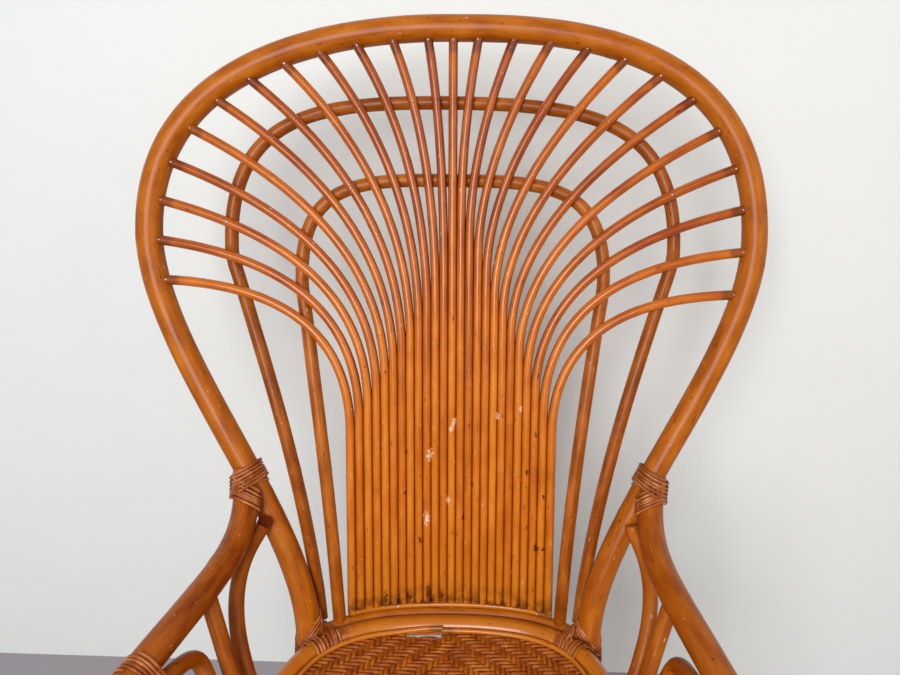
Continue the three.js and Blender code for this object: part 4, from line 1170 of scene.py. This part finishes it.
class CHAIR_OT_arches(bpy.types.Operator):
    """Bend the two inner arches behind the spindles"""

    bl_idname = "peacock_chair.arches"
    bl_label = "Inner arches"

    def execute(self, context):
        lines = Workshop.lines
        # The large arch runs on behind the hoop's legs
        large = run_on(lines.large_arch, 24 * MM)
        Workshop.pole("inner_arch_large", large, lines.arch_radius, "arch", sides=16, rings=260 * MM)
        small = cut_ends(lines.small_arch, 4 * MM, 4 * MM)
        Workshop.pole("inner_arch_small", small, lines.arch_radius, "arch", sides=16, rings=260 * MM)
        return {"FINISHED"}


class CHAIR_OT_spindles(bpy.types.Operator):
    """Set the fan of spindles between the foot strip and the hoop"""

    bl_idname = "peacock_chair.spindles"
    bl_label = "Spindles"

    def execute(self, context):
        lines = Workshop.lines
        fan = context.scene.peacock_chair.fan
        # The outer spindles are a little thicker, and every tip ends inside the hoop
        thicker, sunk = 0.8, 0.8
        for place, line in lines.spindles.items():
            radius = (fan.pole + fan.swelling * (1 + thicker * (place / fan.per_side) ** 2)) / 2
            path = cut_ends(line, 0, sunk * lines.hoop_radius)
            name = f"spindle_{place + fan.per_side + 1:02d}"
            Workshop.pole(name, path, radius, "fan", sides=12, rings=230 * MM, spacing=4 * MM)
        return {"FINISHED"}


class CHAIR_OT_rail(bpy.types.Operator):
    """Set the rail behind the ring and the strip under the spindles"""

    bl_idname = "peacock_chair.rail"
    bl_label = "Rail and foot strip"

    def execute(self, context):
        lines = Workshop.lines
        back = context.scene.peacock_chair.back
        rail = cut_ends(both_sides(lines.rail_half), 4 * MM, 4 * MM)
        Workshop.pole("back_rail", rail, lines.rail_radius, "hoop", sides=16)
        strip = both_sides(lines.strip_half)
        Workshop.pole("spindle_foot_strip", strip, back.strip_pole / 2, "fan", sides=12)
        return {"FINISHED"}


class CHAIR_OT_ring(bpy.types.Operator):
    """Bend the seat ring and lay the trim along the edge of the weave"""

    bl_idname = "peacock_chair.ring"
    bl_label = "Seat ring and trim"

    def execute(self, context):
        lines = Workshop.lines
        seat = context.scene.peacock_chair.seat
        loop = joined(lines.ring_half, (lines.ring_half * MIRROR)[::-1])[:-1]
        # The ring's two ends meet under the left corner binding
        ends_meet = point(-150 * MM, -20 * MM, 0)
        start = np.argmin(np.linalg.norm(loop - ends_meet, axis=1))
        loop = np.vstack([loop[start:], loop[: start + 1]])
        Workshop.pole("seat_ring", loop, lines.ring_radius, "fan", sides=20, rings=310 * MM)
        # The ends meet a little left of the middle
        right = lines.trim_half(0.0)
        right = np.vstack([right[0] - SIDEWAYS * 9 * MM, right])
        left = cut_ends(lines.trim_half(seat.trim_lift), 8 * MM, 0) * MIRROR
        Workshop.pole("seat_trim", joined(right, left[::-1]), seat.trim_pole / 2, "fan", sides=10)
        return {"FINISHED"}


class CHAIR_OT_arms(bpy.types.Operator):
    """Bend the arms with the front legs, and their braces, struts and loops"""

    bl_idname = "peacock_chair.arms"
    bl_label = "Arms"

    def execute(self, context):
        lines = Workshop.lines
        arm_path = cut_ends(lines.arm, 5 * MM, 0)
        for arm in Workshop.pole_pair("arm", arm_path, lines.arm_radius, "arm", sides=24, rings=320 * MM):
            stand_on_floor(arm)
        radius = lines.side_radius
        Workshop.pole("arm_brace_right", cut_ends(lines.brace, 0, 5 * MM), radius, "arm", sides=16)
        # The left brace's upper end turns to the front and shows its end grain
        low = cut_ends(lines.brace, 20 * MM, 5 * MM) * MIRROR
        facing, ease, shift = unit(point(0.3, -0.75, 0.55)), 9 * MM, 3 * MM
        end = lines.brace[0] * MIRROR + facing * shift - UP * shift
        bend = bezier(end, end - facing * ease, low[0] + unit(low[0] - low[1]) * ease, low[0], 12)
        brace = Workshop.pole("arm_brace_left", joined(bend, low), radius, "arm", sides=16, spacing=3 * MM)
        bare_end(brace, end + lines.home, Workshop.materials["end"])
        Workshop.pole_pair("arm_strut", cut_ends(lines.strut, 5 * MM, 5 * MM), radius, "arm", sides=16)
        Workshop.pole_pair("arm_loop", cut_ends(lines.loop, 5 * MM, 5 * MM), radius, "arm", sides=16)
        return {"FINISHED"}


class CHAIR_OT_underframe(bpy.types.Operator):
    """Set the stretchers between the legs and the bearers under the seat"""

    bl_idname = "peacock_chair.underframe"
    bl_label = "Stretchers and bearers"

    def execute(self, context):
        lines = Workshop.lines
        chair = context.scene.peacock_chair
        radius = chair.leg.stretcher_pole / 2
        inset = 6 * MM
        side = cut_ends(lines.side_stretcher, inset, inset)
        Workshop.pole_pair("side_stretcher", side, radius, "arm", sides=18)
        for name in ("rear_stretcher", "front_stretcher"):
            path = cut_ends(getattr(lines, name), inset, inset)
            Workshop.pole(name, path, radius, "arm", sides=18)
        for name, path in zip(("rear_bearer", "front_bearer"), lines.bearers):
            Workshop.pole(name, path, chair.seat.bearer_pole / 2, "arm", sides=18)
        return {"FINISHED"}


class CHAIR_OT_weave(bpy.types.Operator):
    """Weave the seat in a herringbone of split rattan"""

    bl_idname = "peacock_chair.weave"
    bl_label = "Woven seat"

    def edge(self, lines, inset):
        half = lines.beside_ring(lines.ring_half, -inset)
        half[0, 0] = 0.0
        half[-1, 0] = 0.0
        return half

    def dish(self, lines, points):
        """Height of the middle of the weave."""
        seat = lines.chair.seat
        half = self.edge(lines, lines.ring_radius)
        middle = point(0, -seat.depth / 2, 0)
        edge_turn = np.arctan2(half[:, 0], half[:, 1] - middle[1])
        order = np.argsort(edge_turn)
        edge_reach = np.linalg.norm(half - middle, axis=1)
        turn = np.arctan2(np.abs(points[:, 0]), points[:, 1] - middle[1])
        reach = np.interp(turn, edge_turn[order], edge_reach[order])
        share = np.linalg.norm(points[:, :2] - middle[:2], axis=1) / reach
        return -seat.dish * (1 - np.minimum(share, 1) ** 2) - 2 * MM

    def strands(self, lines, name, ends, own, pitch, wave, width, axis):
        """Reeds of one direction. Each has points at half the pitch of the reeds that cross it."""
        weave = lines.chair.weave
        chance = np.random.default_rng(11 + axis)
        # No reed lies quite straight
        drift, sway, sway_run = 0.18 * MM, 0.25 * MM, 37 * MM
        paths, counts, outward = [], [], []
        for row, low, high in [(row, *run) for row, runs in ends.items() for run in runs]:
            steps = max(3, int((high - low) / (pitch / 2)))
            free = np.linspace(low, high, steps)
            fixed = np.full(steps, row * own + chance.normal(0, drift))
            fixed += sway * np.sin(free / sway_run + row * 1.7)
            columns = [free, fixed] if axis == 0 else [fixed, free]
            path = np.stack([*columns, np.zeros(steps)], axis=1)
            path[:, 2] = self.dish(lines, path)
            paths.append(path + lines.home)
            counts.append(np.abs(row) + free / pitch if axis == 1 else row + np.abs(free) / pitch)
            outward.append(np.tile(UP, (steps, 1)))
        reeds = Workshop.strands(
            name, paths, outward, counts, width, weave.thickness, 6, "weave", wave, weave.floats
        )
        settle(reeds, "woven_rattan", "woven_seat")

    def execute(self, context):
        lines = Workshop.lines
        weave = context.scene.peacock_chair.weave
        half = self.edge(lines, lines.ring_radius - 1 * MM)
        split = np.argmax(half[:, 0])
        widest = half[split, 0]
        chance = np.random.default_rng(3)
        # A slit has opened at the back, left of the middle, where the trim has lifted
        slit_left, slit_width, slit_depth, slit_growth = 55 * MM, 47 * MM, 7 * MM, 5 * MM
        slit_reach, shortest = 60 * MM, 30 * MM
        long_ends, cross_ends = {}, {}
        reach = int(widest / weave.long_pitch)
        for row in range(-reach, reach + 1):
            x = abs(row * weave.long_pitch)
            back = np.interp(x, half[: split + 1, 0], half[: split + 1, 1])
            front = np.interp(x, half[:split:-1, 0], half[:split:-1, 1])
            if back - front > shortest:
                share = (row * weave.long_pitch + slit_left) / slit_width
                torn = 0 < share < 1
                slit = slit_depth + slit_growth * share + chance.uniform(0, 2) * MM if torn else 0
                long_ends[row] = [(front, back - slit)]
        for row in range(int(half[-1, 1] / weave.cross_pitch) + 1, int(half[0, 1] / weave.cross_pitch)):
            y = row * weave.cross_pitch
            side = np.interp(-y, -half[:, 1], half[:, 0])
            share = np.clip((half[0, 1] - y - slit_depth) / slit_growth, 0, 1)
            if side > shortest / 2:
                cross_ends[row] = [(-side, side)]
            if side > slit_reach and share < 1:
                cross_ends[row] = [(-side, slit_width * share - slit_left), (slit_width - slit_left, side)]
        pitches = weave.long_pitch, weave.cross_pitch
        self.strands(lines, "woven_seat_long", long_ends, *pitches, weave.rise, weave.long_width, 1)
        self.strands(lines, "woven_seat_cross", cross_ends, *pitches[::-1], -weave.rise, weave.cross_width, 0)
        return {"FINISHED"}


def section(path, radius, centre, normal, offset):
    """Where a pole passes through a slanted plane: the point nearest the centre, and the pole's heading."""
    side = (path - centre) @ normal - offset
    best = None
    for i in np.nonzero(side[:-1] * side[1:] <= 0)[0]:
        if side[i] == side[i + 1]:
            continue
        place = path[i] + (path[i + 1] - path[i]) * side[i] / (side[i] - side[i + 1])
        away = np.linalg.norm(place - centre)
        if away < radius * 4 and (best is None or away < best[2]):
            best = place, unit(path[i + 1] - path[i]), away
    return best


def winding(poles, centre, normal, aside, turns, pitch, lift, chance, loose=0.0, steps=56):
    """Points and outward directions of a strand wound in slanted turns round the outside of some poles."""
    across = unit(aside - normal * aside.dot(normal))
    upward = np.cross(normal, across)
    wander = chance.normal(0, loose, turns + 2)
    points, outward = [], []
    for i in range(turns * steps + 1):
        turn = i / steps
        offset = (turn - turns / 2) * pitch + np.interp(turn, np.arange(turns + 2), wander)
        cuts = [(radius, section(path, radius, centre, normal, offset)) for path, radius in poles]
        angle = turn * 2 * math.pi
        toward = across * math.cos(angle) + upward * math.sin(angle)
        best, place = -math.inf, None
        for radius, cut in cuts:
            if cut is None:
                continue
            middle, heading, _ = cut
            minor = radius + lift
            major = minor / abs(heading.dot(normal))
            long_way = heading - normal * heading.dot(normal)
            long_way = unit(long_way) if np.linalg.norm(long_way) > 1e-6 else across
            short_way = np.cross(normal, long_way)
            p, q = toward.dot(long_way), toward.dot(short_way)
            reach = math.hypot(major * p, minor * q)
            if middle.dot(toward) + reach > best:
                best = middle.dot(toward) + reach
                place = middle + long_way * (major**2 * p / reach) + short_way * (minor**2 * q / reach)
        if place is None:
            raise RuntimeError("a binding's turn meets none of its poles")
        points.append(place)
        outward.append(toward)
    return np.array(points), np.array(outward)


def slanted(heading, aside, angle):
    return unit(heading * math.cos(angle) + aside * math.sin(angle))


class CHAIR_OT_bindings(bpy.types.Operator):
    """Wind the strands of peel at the waist, on the arms and at the seat's corners"""

    bl_idname = "peacock_chair.bindings"
    bl_label = "Bindings"

    def wind(self, name, wraps, binding, sides=("right", "left")):
        for side in sides:
            flip = (1 if side == "right" else -1, 1, 1)
            home = Workshop.lines.home
            paths = [points * flip + home for points, _ in wraps]
            outward = [facing * flip for _, facing in wraps]
            still = [np.full(len(path), -0.5) for path in paths]
            node = f"{name}_{side}"
            peel = Workshop.strands(node, paths, outward, still, binding.width, binding.thickness, 8, "peel")
            settle(peel, "rattan_peel", node)

    def execute(self, context):
        lines = Workshop.lines
        binding = context.scene.peacock_chair.binding
        chance = np.random.default_rng(5)
        lift = binding.thickness / 2
        over = lift + binding.thickness
        hoop = (lines.hoop_low, lines.hoop_radius)
        root_heading = unit(lines.arm_upper[1] - lines.arm_upper[0])
        arm_through = np.vstack([lines.arm_root - root_heading * 2 * lines.hoop_radius, lines.arm])
        arm = (arm_through, lines.arm_radius)
        rise = context.scene.peacock_chair.arm.root_rise
        waist_heading = unit(lines.on_waist(rise + MM) - lines.on_waist(rise - MM))
        middle = lines.arm_root + root_heading * lines.hoop_radius
        turns, pitch, slack = binding.waist_turns, binding.pitch, 0.7 * MM
        waist = []
        top = over + binding.thickness
        for poles, angle, aside, shift, height in (
            ([hoop, arm], -45, 0, 0, lift),
            ([arm], -104, -0.5, 22 * MM, over),
            ([hoop, arm], 4, 0, -1 * MM, top),
        ):
            normal = unit(slanted(waist_heading, root_heading, math.radians(angle)) + aside * SIDEWAYS)
            centre = middle + root_heading * shift
            waist.append(winding(poles, centre, normal, root_heading, turns, pitch, height, chance, slack))
        self.wind("waist_binding", waist, binding)
        tied = [(lines.arm, lines.arm_radius), (lines.loop, lines.side_radius)]
        # The right arm is tied a little further forward
        for side, shift in (("left", 0), ("right", 18 * MM)):
            centre, heading = lines.on_arm(context.scene.peacock_chair.arm.tie + shift)
            wraps = [winding(tied, centre, heading, UP, binding.arm_turns, pitch, lift, chance)]
            self.wind("arm_binding", wraps, binding, [side])
        ring_loop = joined(lines.ring_half, (lines.ring_half * MIRROR)[::-1])
        seat_half = context.scene.peacock_chair.back.seat_half
        leg = lines.leaning(seat_half, binding.corner_rise)
        corner_middle = (leg + lines.corner) / 2
        corner_middle[2] = binding.corner_rise
        ring, rail = (ring_loop, lines.ring_radius), (both_sides(lines.rail_half), lines.rail_radius)
        corner_slant = slanted(UP, lines.corner_heading, math.pi / 4)
        corner_aside = point(-lines.corner_heading[1], lines.corner_heading[0], 0)
        leg_middle, leg_slant = lines.leaning(seat_half, 1 * MM), unit(point(0.79, 0, 0.61))
        rear = lines.ring_rear, lines.ring_rear[:, 0]
        ring_wrap, rail_wrap, loose = 158 * MM, 143 * MM, 0.4 * MM
        corner = []
        for poles, centre, normal, aside, count, spread, height, slack in (
            ([hoop, ring], corner_middle, corner_slant, corner_aside, binding.corner_turns, 1, lift, 0),
            ([hoop], leg_middle, leg_slant, SIDEWAYS, 3, 1, lift, loose),
            ([ring], spot(*rear, ring_wrap), along(*rear, ring_wrap), UP, 4, 1.3, over, loose),
            ([ring, rail], spot(*rear, rail_wrap), along(*rear, rail_wrap), UP, 4, 0.9, over, loose),
        ):
            corner.append(winding(poles, centre, normal, aside, count, pitch * spread, height, chance, slack))
        self.wind("corner_binding", corner, binding)
        front_middle = (lines.leg_at_ring + lines.leg_contact) / 2
        front_slant = slanted(UP, lines.leg_heading, math.pi / 4)
        poles, turns = [(lines.arm, lines.arm_radius), ring], binding.front_turns
        front = [winding(poles, front_middle, front_slant, lines.leg_side, turns, pitch, lift, chance)]
        self.wind("front_binding", front, binding)
        return {"FINISHED"}


class CHAIR_OT_nails(bpy.types.Operator):
    """Drive the nails at the spindle tips, at the arch crossings and along the foot strip"""

    bl_idname = "peacock_chair.nails"
    bl_label = "Nails"

    def execute(self, context):
        lines = Workshop.lines
        chair = context.scene.peacock_chair
        # A nail head stands 1 mm proud of its spindle
        proud = lines.frontward * (chair.fan.pole / 2 + 1.0 * MM)
        places = []
        for path in lines.spindles.values():
            run = lengths(path)
            tip = spot(path, run, run[-1] - lines.hoop_radius - 0.5 * MM)
            places.append(tip + proud)
        # Some spindles are nailed to an arch, counted from the middle one
        nailed = ((lines.large_arch, (-10, -6, -2, -1, 6, 9)), (lines.small_arch, (-7, -6, 7, 8)))
        for arch, crossed in nailed:
            for place in crossed:
                _, touch = crossing(arch, lines.spindles[place])
                places.append(touch + proud)
        strip_front = point(0, 0, lines.strip_rise) + lines.frontward * chair.back.strip_pole / 2
        strip_nails = np.array((-102, -68, -11, 53, 110)) * MM
        for across in strip_nails:
            strip = lines.rail_at(abs(across))
            places.append(point(across, strip[1], 0) + strip_front)
        points = [np.array([place + lines.home]) for place in places]
        threads = thread_mesh("fan_nails", points, {"outward": [np.array([lines.frontward] * len(points))]})
        values = {"Radius": 1.5 * MM, "Seed": 4, "Material": Workshop.materials["nail"]}
        settle(grown("fan_nails", threads, Workshop.trees["nail"], values), "rattan_pole")
        return {"FINISHED"}


class CHAIR_OT_stage(bpy.types.Operator):
    """Set the pale floor and wall, the soft light and the camera"""

    bl_idname = "peacock_chair.stage"
    bl_label = "Stage"

    def sheet(self, name, corners, material):
        mesh = bpy.data.meshes.new(name)
        mesh.from_pydata(corners, [], [range(len(corners))])
        mesh.materials.append(material)
        piece = bpy.data.objects.new(name, mesh)
        bpy.context.scene.collection.objects.link(piece)

    def paint(self, name, shade, one_sided=False):
        """Matt wall paint or floor screed: an even colour with faint rolled mottling about 120 mm across."""
        material, tree, surface = new_material(name)
        place = add(tree, "ShaderNodeTexCoord", out="Object")
        cloud = add(tree, "ShaderNodeTexNoise", {"Vector": place, "Scale": 1 / (120 * MM), "Detail": 3.0})
        mottled = coated(tree, opaque(shade), [(cloud, opaque([c * 0.97 for c in shade]))])
        feed(tree, surface, {"Base Color": mottled, "Roughness": 0.85, "Specular IOR Level": 0.2})
        if one_sided:
            back = add(tree, "ShaderNodeNewGeometry", out="Backfacing")
            clear = add(tree, "ShaderNodeBsdfTransparent")
            both = add(tree, "ShaderNodeMixShader", back, surface.outputs[0], clear)
            feed(tree, tree.nodes["Material Output"], {"Surface": both})
        return material

    def lamp(self, name, place, target, width, power, tint):
        light = bpy.data.lights.new(name, "AREA")
        light.shape = "SQUARE"
        light.size = width
        light.energy = power
        light.color = linear(tint)
        lamp = bpy.data.objects.new(name, light)
        lamp.location = place
        lamp.rotation_euler = (Vector(target) - Vector(place)).to_track_quat("-Z", "Y").to_euler()
        bpy.context.scene.collection.objects.link(lamp)

    def execute(self, context):
        stage = context.scene.peacock_chair.stage
        far, top = stage.reach, stage.wall_height
        floor = self.paint("Pale floor screed", stage.floor_colour)
        wall = self.paint("Pale wall paint", stage.wall_colour, one_sided=True)
        self.sheet("floor", [(-far, -far, 0), (far, -far, 0), (far, far, 0), (-far, far, 0)], floor)
        # The wall stands 1.4 degrees askew
        askew = far * math.tan(math.radians(1.4))
        left, right = stage.wall_behind + askew, stage.wall_behind - askew
        self.sheet("wall", [(-far, left, 0), (far, right, 0), (far, right, top), (-far, left, top)], wall)
        self.lamp("window_left", (-0.4, -2.2, 1.5), (0, 0.2, 0.85), 1.1, stage.key, "#FFFFFF")
        self.lamp("window_right", (1.9, -1.5, 1.9), (0, 0.1, 0.7), 1.4, stage.fill, "#FFF2E6")
        world = bpy.data.worlds.new("Even light")
        context.scene.world = world
        world.use_nodes = True
        tree = world.node_tree
        sky = {"Color": opaque(linear("#F4F6F6")), "Strength": stage.sky}
        feed(tree, tree.nodes["Background"], sky)
        # The camera is tipped 16 degrees down, rolled by under one degree, its axis right of the middle
        lens = bpy.data.cameras.new("camera")
        lens.sensor_fit = "HORIZONTAL"
        lens.sensor_width = 36.0
        focal_length, axis_across = 676, 501.4
        lens.lens = focal_length / PHOTO_WIDTH * lens.sensor_width
        lens.shift_x = (PHOTO_WIDTH / 2 - axis_across) / PHOTO_WIDTH
        camera = bpy.data.objects.new("camera", lens)
        tipped, rolled = math.radians(90 - 16), math.radians(0.78)
        turned = Matrix.Rotation(tipped, 4, "X") @ Matrix.Rotation(rolled, 4, "Z")
        place = Workshop.lines.home + point(60.7 * MM, -738 * MM, 592 * MM)
        camera.matrix_world = Matrix.Translation(place) @ turned
        context.scene.collection.objects.link(camera)
        context.scene.camera = camera
        context.scene.view_settings.view_transform = "Standard"
        return {"FINISHED"}


class CHAIR_PT_panel(bpy.types.Panel):
    """Lists the pieces of the chair in the order in which they are made"""

    bl_idname = "CHAIR_PT_panel"
    bl_label = "Peacock chair"
    bl_space_type = "VIEW_3D"
    bl_region_type = "UI"
    bl_category = "Peacock chair"

    def draw(self, context):
        chair = context.scene.peacock_chair
        for operator in OPERATORS:
            self.layout.operator(operator.bl_idname)
        for label in chair.__annotations__:
            box = self.layout.box()
            box.label(text=label.capitalize())
            group = getattr(chair, label)
            for name in group.__annotations__:
                box.prop(group, name)


OPERATORS = (
    CHAIR_OT_hoop,
    CHAIR_OT_arches,
    CHAIR_OT_spindles,
    CHAIR_OT_rail,
    CHAIR_OT_ring,
    CHAIR_OT_arms,
    CHAIR_OT_underframe,
    CHAIR_OT_weave,
    CHAIR_OT_bindings,
    CHAIR_OT_nails,
    CHAIR_OT_stage,
)
GROUPS = (
    SeatSizes,
    BackSizes,
    ArchSizes,
    FanSizes,
    ArmSizes,
    LegSizes,
    WeaveSizes,
    BindingSizes,
    RattanColours,
    StageSizes,
    ChairSettings,
)


def register():
    for group in (*GROUPS, *OPERATORS, CHAIR_PT_panel):
        bpy.utils.register_class(group)
    bpy.types.Scene.peacock_chair = PointerProperty(type=ChairSettings)


def unregister():
    del bpy.types.Scene.peacock_chair
    for group in reversed((*GROUPS, *OPERATORS, CHAIR_PT_panel)):
        bpy.utils.unregister_class(group)


def main():
    register()
    for operator in OPERATORS:
        family, action = operator.bl_idname.split(".")
        getattr(getattr(bpy.ops, family), action)()


if __name__ == "__main__":
    main()
